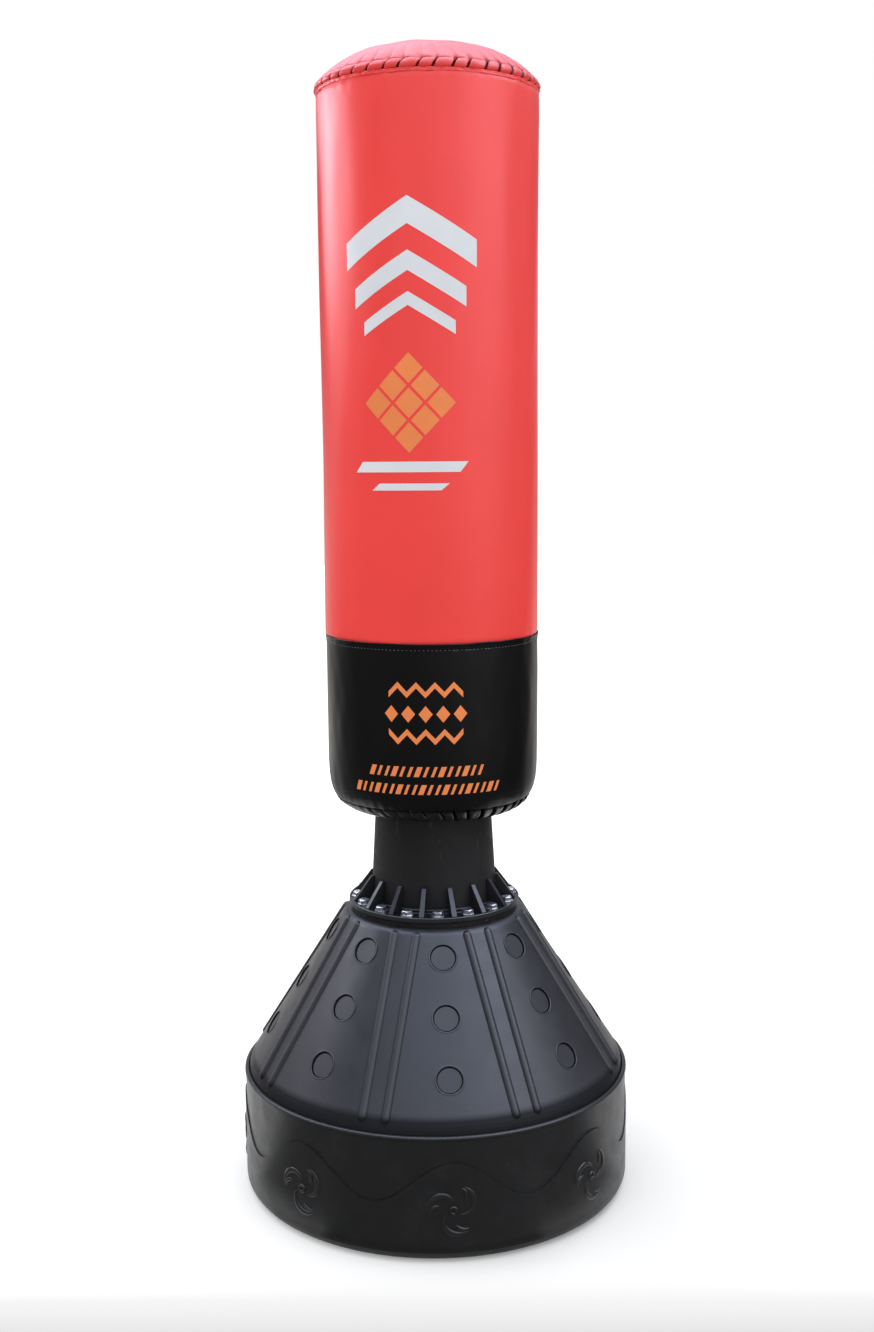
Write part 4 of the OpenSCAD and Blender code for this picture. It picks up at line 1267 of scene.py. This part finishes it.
class BAG_OT_stitching(StepBase, bpy.types.Operator):
    """Sews the stitch rows of the skirt's top fold, the welt and the back seams"""

    bl_idname = "punchbag.stitching"
    bl_label = "Sew the stitches"

    def build(self, context):
        s = context.scene.bag_stitch
        turn = around(720)
        fold_r = skirt_radius(turn, FOLD_ROOT) + FOLD_RISE
        fold_z = FOLD_SEWN + 0.00015 * ripple(turn, 0, 61, 6, (3, 17), (0, 1))
        welt = polar(WELT_SEWN_R, turn, WELT_SEWN + seam_wander(turn))
        tree = stitch_nodes("stitch_row")
        for name, rows, colour, slot, radius in (
                ("skirt_stitches",
                 [polar(fold_r, turn, fold_z), *self.seam_rows(skirt_radius, *SKIRT_SEWN)],
                 s.grey, "black_leather", s.radius),
                ("sleeve_stitches",
                 [*self.seam_rows(sleeve_radius, *SLEEVE_SEWN), welt],
                 s.red, "red_leather", s.radius * THIN_THREAD)):
            thread = sewing_thread(name + "_thread", tuple(colour))
            mesh = run_nodes(self.guide(name + "_path", rows, len(turn)), tree, {
                "Pitch": s.pitch, "Stitch length": s.length, "Thread radius": radius,
                "Seed": 3, "Material": thread})
            piece = add_object(name, mesh, body="bag")

    def seam_rows(self, radius_at, low, high):
        """The rows on both sides of a back seam."""
        z = np.arange(low, high, SEWN_STEP)
        turns = [180 + math.degrees(side * LAP / SEAM_R) for side in (-1, 1)]
        return [polar(radius_at(turn, z) + LAP_RISE, turn, z) for turn in turns]

    def guide(self, name, rows, whole):
        """The lines to sew along. A row that has the points of a whole lap is closed."""
        points, edges = [], []
        for line in rows:
            k = len(points) + np.arange(len(line))
            points += line.tolist()
            edges += np.stack([k, np.roll(k, -1)], -1).tolist()[:None if len(k) == whole else -1]
        path = bpy.data.meshes.new(name)
        path.from_pydata(points, edges, [])
        return add_object(name, path)


def ink_patch(corners, step=0.004):
    """A four-cornered patch as a grid of flat points, (across, up) in metres."""
    a, b, c, d = (np.array(p, float) for p in corners)
    n, m = (max(1, math.ceil(max(np.linalg.norm(p), np.linalg.norm(q)) / step))
            for p, q in ((b - a, c - d), (d - a, c - b)))
    u, v = np.meshgrid(np.linspace(0, 1, n + 1), np.linspace(0, 1, m + 1))
    u, v = u[..., None], v[..., None]
    return (1 - u) * (1 - v) * a + u * (1 - v) * b + u * v * c + (1 - u) * v * d


def diamond(x, y, half, rise):
    return ink_patch([(x - half, y), (x, y - rise), (x + half, y), (x, y + rise)])


def bar(x, y, half, rise, slant):
    """A level bar with slanted ends. x and y are the middle, half and rise its half sizes."""
    low, high = y - rise, y + rise
    return ink_patch([(x - half - slant, low), (x + half - slant, low),
                      (x + half + slant, high), (x - half + slant, high)])


def chevron(x, y, half, rise, thick):
    """Two slanted bars that meet in a point."""
    left, right = x - half, x + half
    return [ink_patch([(left, y - rise), (x, y), (x, y + thick), (left, y - rise + thick)]),
            ink_patch([(x, y), (right, y - rise), (right, y - rise + thick), (x, y + thick)])]


def print_piece(name, patches, middle_turn, middle_z, radius_at, lift, ink, sink=0.0006):
    """Thin ink on the bag's skin: a closed slab for each patch, sunk a little into the leather."""
    points, faces = [], []
    for grid in patches:
        turn = middle_turn + np.degrees(grid[..., 0] / PRINT_R)
        z = middle_z + grid[..., 1]
        r = radius_at(turn, z)
        top = len(points) + np.arange(z.size).reshape(z.shape)
        for level in (lift, -sink):
            points += polar(r + level, turn, z).reshape(-1, 3).tolist()
        quads = np.stack([top[:-1, :-1], top[:-1, 1:], top[1:, 1:], top[1:, :-1]], -1)
        quads = quads.reshape(-1, 4)
        rim = np.concatenate([top[0, :-1], top[:-1, -1], top[-1, :0:-1], top[:0:-1, 0]])
        after = np.roll(rim, -1)
        sides = np.stack([after, rim, rim + z.size, after + z.size], -1)
        faces += quads.tolist() + (quads + z.size)[:, ::-1].tolist() + sides.tolist()
    return make_piece(name, points, faces, ink, "bag", sharp=50)


# The sleeve's chevrons: height of the point, half width, thickness
CHEVRONS = ((0.168, 0.100, 0.038), (0.104, 0.084, 0.028), (0.056, 0.068, 0.019))
# The two bars under them: height, half width, half thickness; and the slant of their ends
BARS = ((-0.1705, 0.080, 0.0075), (-0.199, 0.052, 0.005))
BAR_SLANT = 0.006
# The lattice between them: height of its middle, steps from diamond to diamond, half sizes
LATTICE_Z, LATTICE_STEP, LATTICE_HALF = -0.080, (0.0235, 0.0245), (0.0205, 0.0215)
# The skirt's row of diamonds: step and half sizes
GEM_STEP, GEM_HALF = 0.026, (0.0105, 0.0125)
# Its zigzags above and below them: height and the way they point, step, half width, rise and
# thickness of one point
ZIGZAGS = ((0.0385, 1), (-0.0455, -1))
ZIG_STEP, ZIG_HALF, ZIG_RISE, ZIG_THICK = 0.028, 0.0142, 0.0147, 0.009
# Its rows of ticks: height and half width; half the pitch of the ticks, their half widths in
# turn, their half height and slant
TICKS = ((-0.086, 0.090), (-0.113, 0.118))
TICK_SHARE, TICK_HALVES, TICK_RISE, TICK_SLANT = 0.0058, (0.0040, 0.0022, 0.0022), 0.0075, 0.003


class BAG_OT_prints(StepBase, bpy.types.Operator):
    """Prints the plain geometric designs on the sleeve and the skirt"""

    bl_idname = "punchbag.prints"
    bl_label = "Print the designs"

    def build(self, context):
        p = context.scene.bag_print
        silver = screen_ink("silver_ink", tuple(p.silver))
        orange = screen_ink("orange_ink", tuple(p.orange))
        on_sleeve = p.sleeve_turn, p.sleeve_z, sleeve_radius, p.height
        pale = []
        for y, half, thick in CHEVRONS:
            pale += chevron(0, y, half, half * 0.60, thick)
        pale += [bar(0, y, half, rise, BAR_SLANT) for y, half, rise in BARS]
        piece = print_piece("sleeve_print_silver", pale, *on_sleeve, silver)
        step_x, step_z = LATTICE_STEP
        warm = [diamond((i - j) * step_x, LATTICE_Z + (i + j - 2) * step_z, *LATTICE_HALF)
                for i in range(3) for j in range(3)]
        piece = print_piece("sleeve_print_orange", warm, *on_sleeve, orange)
        warm = [diamond(GEM_STEP * i, 0, *GEM_HALF) for i in (-2, -1, 0, 1, 2)]
        for y, side in ZIGZAGS:
            for i in (-1.5, -0.5, 0.5, 1.5):
                warm += chevron(ZIG_STEP * i, y, ZIG_HALF, ZIG_RISE * side, ZIG_THICK)
        for y, half in TICKS:
            count = int(half / TICK_SHARE)
            for i in range(count):
                x = -half + (i + 0.5) * 2 * half / count
                warm.append(bar(x, y, TICK_HALVES[i % 3], TICK_RISE, TICK_SLANT))
        piece = print_piece("skirt_print", warm, p.skirt_turn, p.skirt_z, skirt_radius, p.height,
                            orange)


# Brightness of the walls: a row of levels for each height, one level for each turn from the
# front
WALL_TURNS = (-180, -163, -154, -146, -138, -130, -122, -114, -106, -94, -82, -62, -34, -4, 20,
              47, 65, 77, 89, 105, 113, 121, 130, 140, 152, 180)
WALL_ROWS = (
    (0.00, (.6, .9, 1.5, 1.5, 1, .75, .45, .2, .14, .1, .1, .3, .15, .15, .2, .3, .12, .05, 0, 0,
            0, 0, .35, 1.1, .6, .6)),
    (0.42, (.5, .7, .7, .45, .36, .2, .12, .05, .03, 0, 0, .18, .15, .2, .3, .45, .15, .03, 0, 0,
            .03, .1, .55, .9, .5, .5)),
    (0.66, (.5, .7, .75, .8, .75, .75, .6, .5, .42, .32, .28, .22, .15, .2, .3, .9, .7, .45, .3,
            .15, .06, .05, .15, .4, .5, .5)),
    (1.03, (.5, .45, .5, .55, .5, .5, .52, .5, .4, .28, .25, .25, .35, .5, .9, 1.5, 1.3, .75, .3,
            .25, .12, .06, .1, .25, .4, .5)),
    (1.51, (.8, .2, .2, .2, .35, .65, .8, .65, .5, .38, .2, .3, .5, .7, 1.3, 2.1, 1.7, 1.3, .4,
            .2, .15, .1, .1, .2, .5, .8)),
    (1.87, (2.6, .05, .05, .05, .4, 3.9, 6.4, 5.6, 4.8, 3.4, 1.1, .15, .5, .7, 1.1, 2.3, 2.5,
            1.5, .5, .3, .15, .1, .05, .05, .4, 2.6)),
    (2.11, (1.4, .05, .05, .1, 1.6, 6.8, 8, 6.6, 5.6, 5.2, 2, .1, .5, .75, 1.3, 2.6, 3.2, 2.2,
            .5, .35, .3, .15, .05, .05, .2, 1.4)),
    (2.33, (.6, .4, 1.1, 2.8, 5.4, 7, 8.6, 10, 9, 6.8, 1.8, .1, .5, .75, 1.4, 3, 3.6, 2.4, .4,
            .3, .25, .2, .2, .2, .2, .6)),
    (2.60, (.5, .5, .8, 1.8, 3.4, 5, 5.5, 5, 3.8, 1.5, .3, .1, .8, 1, 1.3, 2.4, 2.8, 1.8, .4,
            .35, .3, .25, .25, .25, .3, .5)))
# Brightness of the ceiling from the front to the back, how it changes with the turn near the
# walls, and how its rear changes from the left to the right
CEILING_ROW = ((-6.0, 1.4), (-4.2, 1.9), (-3.7, 2.4), (-3.2, 3.3), (-2.0, 3.4), (-0.9, 4.0),
               (-0.4, 5.8), (0.4, 5.8), (1.0, 4.5), (2.0, 3.2), (3.0, 2.3), (4.5, 1.2), (6.0, 0.8))
CEILING_TURN = ((-180, 1.0), (-150, 1.0), (-110, 0.5), (-84, 0.04), (-66, 0.03), (-48, 0.60),
                (-24, 0.92), (-4, 0.98), (15, 1.08), (45, 1.45), (63, 1.75), (78, 1.6), (95, 0.7),
                (115, 0.5), (150, 1.0), (180, 1.0))
CEILING_SIDE = ((-3.0, 1.6), (-1.5, 1.15), (-0.6, 1.0), (0.0, 0.85), (0.4, 0.66), (2.6, 0.60))
# Brightness of the dark cloth behind the tank, for each turn
REAR_CLOTH = ((74, 0.08), (100, 0.05), (118, 0.08), (135, 0.60), (180, 0.6), (200, 0.6),
              (224, 0.55), (240, 0.22), (276, 0.10))
# The room's radius, the height and half size of its ceiling, and the half size of the floor
ROOM_R, ROOM_TOP, ROOM_HALF, FLOOR_HALF = 3.3, 3.9, 6, 14.0
# Directions on the floor: away from the camera and across its view
AWAY, ACROSS = (0.0872, 0.9962, 0), (0.9962, -0.0872, 0)
# The even fade across the front of the floor, painted shade of plain emission: where it begins and
# ends, its half width, where it grows darker, and its brightness and how much of that it loses
FADE_FROM, FADE_TO, FADE_SIDE = (-0.30, -0.40), (-1.40, -0.49), (1.50, 0.62)
FADE_DROP, FADE_LEVEL, FADE_LOSS = (-0.30, -0.48), 0.985, 0.186
# The camera's distance from the axis, height, turn from the front, downward pitch and roll
CAMERA_OUT, CAMERA_Z = 2.3821, 1.1522
CAMERA_TURN, CAMERA_PITCH, CAMERA_ROLL = (math.radians(a) for a in (4.5, 7.824, -0.495))
LENS, SHIFT = 41.65, 0.0037
# The lamps: size, turn from the front, distance from the axis, height, and the height aimed at
LAMPS = (("side_fill", (1.5, 1.7), -113, 2.5, 2.2, 1.3),
         ("back_fill", (1.5, 1.7), 130, 2.5, 2.0, 1.2),
         ("top_fill", (3.0, 3.0), -4, 0.3, 3.8, None))


class BAG_OT_stage(StepBase, bpy.types.Operator):
    """Sets the camera, the pale floor, the dim room and the soft lights"""

    bl_idname = "punchbag.stage"
    bl_label = "Set the stage"

    def build(self, context):
        s = context.scene.bag_stage
        scene = context.scene
        scene.view_settings.view_transform = "Standard"
        data = bpy.data.cameras.new("camera")
        data.lens, data.shift_x = LENS, SHIFT
        data.clip_start, data.clip_end = 0.05, 80
        camera = bpy.data.objects.new("camera", data)
        scene.collection.objects.link(camera)
        out, across = math.cos(CAMERA_TURN), math.sin(CAMERA_TURN)
        camera.location = (-CAMERA_OUT * across, -CAMERA_OUT * out, CAMERA_Z)
        camera.rotation_mode = "QUATERNION"
        aim = Vector((across, out, -math.tan(CAMERA_PITCH))).to_track_quat("-Z", "Y")
        camera.rotation_quaternion = aim @ Matrix.Rotation(CAMERA_ROLL, 3, "Z").to_quaternion()
        scene.camera = camera
        self.world(scene, s)
        self.floor()
        self.room(s)
        for name, *place in LAMPS:
            self.lamp(scene, name, getattr(s, name), *place)

    def world(self, scene, s):
        """Soft light from all sides, which shows as plain white."""
        scene.world = bpy.data.worlds.new("surround")
        scene.world.use_nodes = True
        w = Nodes(scene.world.node_tree)
        soft = w.add("ShaderNodeBackground", {0: (0.97, 0.985, 1.0), 1: s.ambient})
        white = w.add("ShaderNodeBackground", {0: (1, 1, 1), 1: 1.0})
        w.end("ShaderNodeOutputWorld", w.add("ShaderNodeMixShader", {
            0: w.shown_rays(), 1: soft.outputs[0], 2: white.outputs[0]}))

    def floor(self):
        r = Recipe("pale_floor")

        def measured(operation, inputs):
            node = r.add("ShaderNodeVectorMath", {0: r.place, **inputs}, operation=operation)
            return node.outputs["Value"]

        depth = measured("DOT_PRODUCT", {1: AWAY})
        side = measured("DOT_PRODUCT", {1: ACROSS})
        away = r.remap(measured("LENGTH", {}), 0.5, 1.4)
        shown = r.shown_rays()
        shader = r.add("ShaderNodeBsdfPrincipled", {
            "Base Color": (0.90, 0.90, 0.90), "Roughness": 0.95, "Specular IOR Level": 0.0})
        # painted light: the glow that no lamp casts is stronger towards the left, lifting the
        # floor's shadow there, and grows away from the bag
        plain = r.plus(r.remap(side, -0.35, 0.35, 0.31, 0.09), away, 0.25)
        glow = r.add("ShaderNodeEmission", {"Color": (1, 1, 1), "Strength": r.times(shown, plain)})
        both = r.add("ShaderNodeAddShader", {0: shader.outputs[0], 1: glow.outputs[0]})
        # painted shade: across the front of the floor, shown rays see a plain glow that darkens
        # towards the front, in place of the lit floor
        near = r.times(r.remap(depth, *FADE_FROM), r.remap(depth, *FADE_TO))
        middle = r.remap(r.calc("ABSOLUTE", side), *FADE_SIDE)
        drop = r.remap(depth, *FADE_DROP)
        level = r.calc("SUBTRACT", FADE_LEVEL, r.times(r.times(drop, drop), FADE_LOSS))
        flat = r.add("ShaderNodeEmission", {"Color": (1, 1, 1), "Strength": level})
        r.end("ShaderNodeOutputMaterial", r.add("ShaderNodeMixShader", {
            0: r.times(r.times(near, middle), shown), 1: both.outputs[0], 2: flat.outputs[0]}))
        corners = ((-1, -1), (1, -1), (1, 1), (-1, 1))
        points = [(x * FLOOR_HALF, y * FLOOR_HALF, 0) for x, y in corners]
        floor = make_piece("floor", points, [[0, 1, 2, 3]], r.material, recalc=False)
        floor.location.z = -0.0004

    def room(self, s):
        """Walls, ceiling and dark floor cloth that only reflections see, so that mirror images
        and light are set apart."""
        turns = around(120) - 180
        levels = np.array([np.interp(turns, WALL_TURNS, row) for _, row in WALL_ROWS])
        heights = [z for z, _ in WALL_ROWS]
        fine = np.arange(0.0, 2.61, 0.1)
        rows = [polar(ROOM_R, turns, z) for z in fine]
        glow = np.concatenate([[np.interp(z, heights, column) for column in levels.T]
                               for z in fine])
        self.glowing("room_walls", np.concatenate(rows), ring_faces(rows), glow * s.walls,
                     (1.0, 0.95, 0.91), (0.86, 0.87, 1.0))
        side = np.linspace(-ROOM_HALF, ROOM_HALF, 31)
        x, y = (grid.ravel() for grid in np.meshgrid(side, side))
        n = len(side)
        faces = [[i * n + k, i * n + k + 1, (i + 1) * n + k + 1, (i + 1) * n + k]
                 for i in range(n - 1) for k in range(n - 1)]
        turned = along(np.degrees(np.arctan2(x, -y)), CEILING_TURN)
        near_wall = ease((np.hypot(x, y) - 1.9) / 0.9)
        glow = along(y, CEILING_ROW) * (1 + near_wall * (turned - 1))
        glow = glow * (1 + ease((y - 0.5) / 1.2) * (along(x, CEILING_SIDE) - 1))
        cool = (0.70, 0.78, 1.0)
        points = np.stack([x, y, np.full_like(x, ROOM_TOP)], -1)
        self.glowing("room_ceiling", points, faces, glow * s.ceiling, cool, cool)
        # the front cloth comes closer to the tank where it shows the tank's front
        turns = np.linspace(-84, 74, 80)
        inner = np.where((turns > -42) & (turns < 30), 0.315, 0.36)
        self.cloth("room_floor_cloth", turns, inner, np.full(80, 0.12))
        turns = np.linspace(74, 276, 50)
        self.cloth("room_rear_cloth", turns, 0.95, along(turns, REAR_CLOTH))

    def cloth(self, name, turns, inner, levels, lift=0.002):
        n = len(turns)
        points = np.concatenate([polar(r, turns, lift) for r in (inner, ROOM_R)])
        faces = [[i, i + 1, n + i + 1, n + i] for i in range(n - 1)]
        self.glowing(name, points, faces, np.tile(levels, 2), (1, 1, 1), (1, 1, 1))

    def glowing(self, name, points, faces, levels, low_colour, high_colour):
        r = Recipe(name)
        colour = r.blend(r.remap(r.height(), 0.9, 1.7), low_colour, high_colour)
        glow = r.add("ShaderNodeEmission", {"Color": colour, "Strength": r.value("glow")})
        r.end("ShaderNodeOutputMaterial", glow)
        piece = make_piece(name, points, faces, r.material, recalc=False)
        add_values(piece, "glow", levels)
        for ray in ("camera", "diffuse", "shadow", "transmission", "volume_scatter"):
            setattr(piece, "visible_" + ray, False)

    def lamp(self, scene, name, level, size, turn, distance, height, aim_z):
        """A soft panel that lights without a mirror image."""
        data = bpy.data.lights.new(name, "AREA")
        data.shape = "RECTANGLE"
        data.size, data.size_y = size
        data.energy = level * size[0] * size[1] * 4
        lamp = bpy.data.objects.new(name, data)
        scene.collection.objects.link(lamp)
        lamp.location = Vector(polar(distance, turn, height))
        lamp.visible_camera = False
        lamp.visible_glossy = False
        if aim_z is not None:
            lamp.rotation_mode = "QUATERNION"
            aim = Vector((0, 0, aim_z)) - lamp.location
            lamp.rotation_quaternion = aim.to_track_quat("-Z", "Y")


STEPS = (BAG_OT_stage, BAG_OT_hard_parts, BAG_OT_tank_motifs, BAG_OT_disc_rims, BAG_OT_neck,
         BAG_OT_foam, BAG_OT_sleeve, BAG_OT_domed_top, BAG_OT_top_welt, BAG_OT_skirt, BAG_OT_hem,
         BAG_OT_back_seams, BAG_OT_stitching, BAG_OT_prints)
GROUPS = {"bag_cover": CoverSettings, "bag_stitch": StitchSettings, "bag_print": PrintSettings,
          "bag_base": BaseSettings, "bag_stage": StageSettings}


class BAG_PT_panel(bpy.types.Panel):
    """Lists the steps of the build"""

    bl_idname = "BAG_PT_panel"
    bl_label = "Punching bag"
    bl_space_type = "VIEW_3D"
    bl_region_type = "UI"
    bl_category = "Punching bag"

    def draw(self, context):
        for step in STEPS:
            self.layout.operator(step.bl_idname)
        for group, kind in GROUPS.items():
            box = self.layout.box()
            for name in kind.__annotations__:
                box.prop(getattr(context.scene, group), name)


def register():
    for kind in (*GROUPS.values(), *STEPS, BAG_PT_panel):
        bpy.utils.register_class(kind)
    for name, kind in GROUPS.items():
        setattr(bpy.types.Scene, name, bpy.props.PointerProperty(type=kind))


def unregister():
    for name in GROUPS:
        delattr(bpy.types.Scene, name)
    for kind in reversed((*GROUPS.values(), *STEPS, BAG_PT_panel)):
        bpy.utils.unregister_class(kind)


def main():
    register()
    for step in STEPS:
        group, name = step.bl_idname.split(".")
        getattr(getattr(bpy.ops, group), name)()


if __name__ == "__main__":
    main()
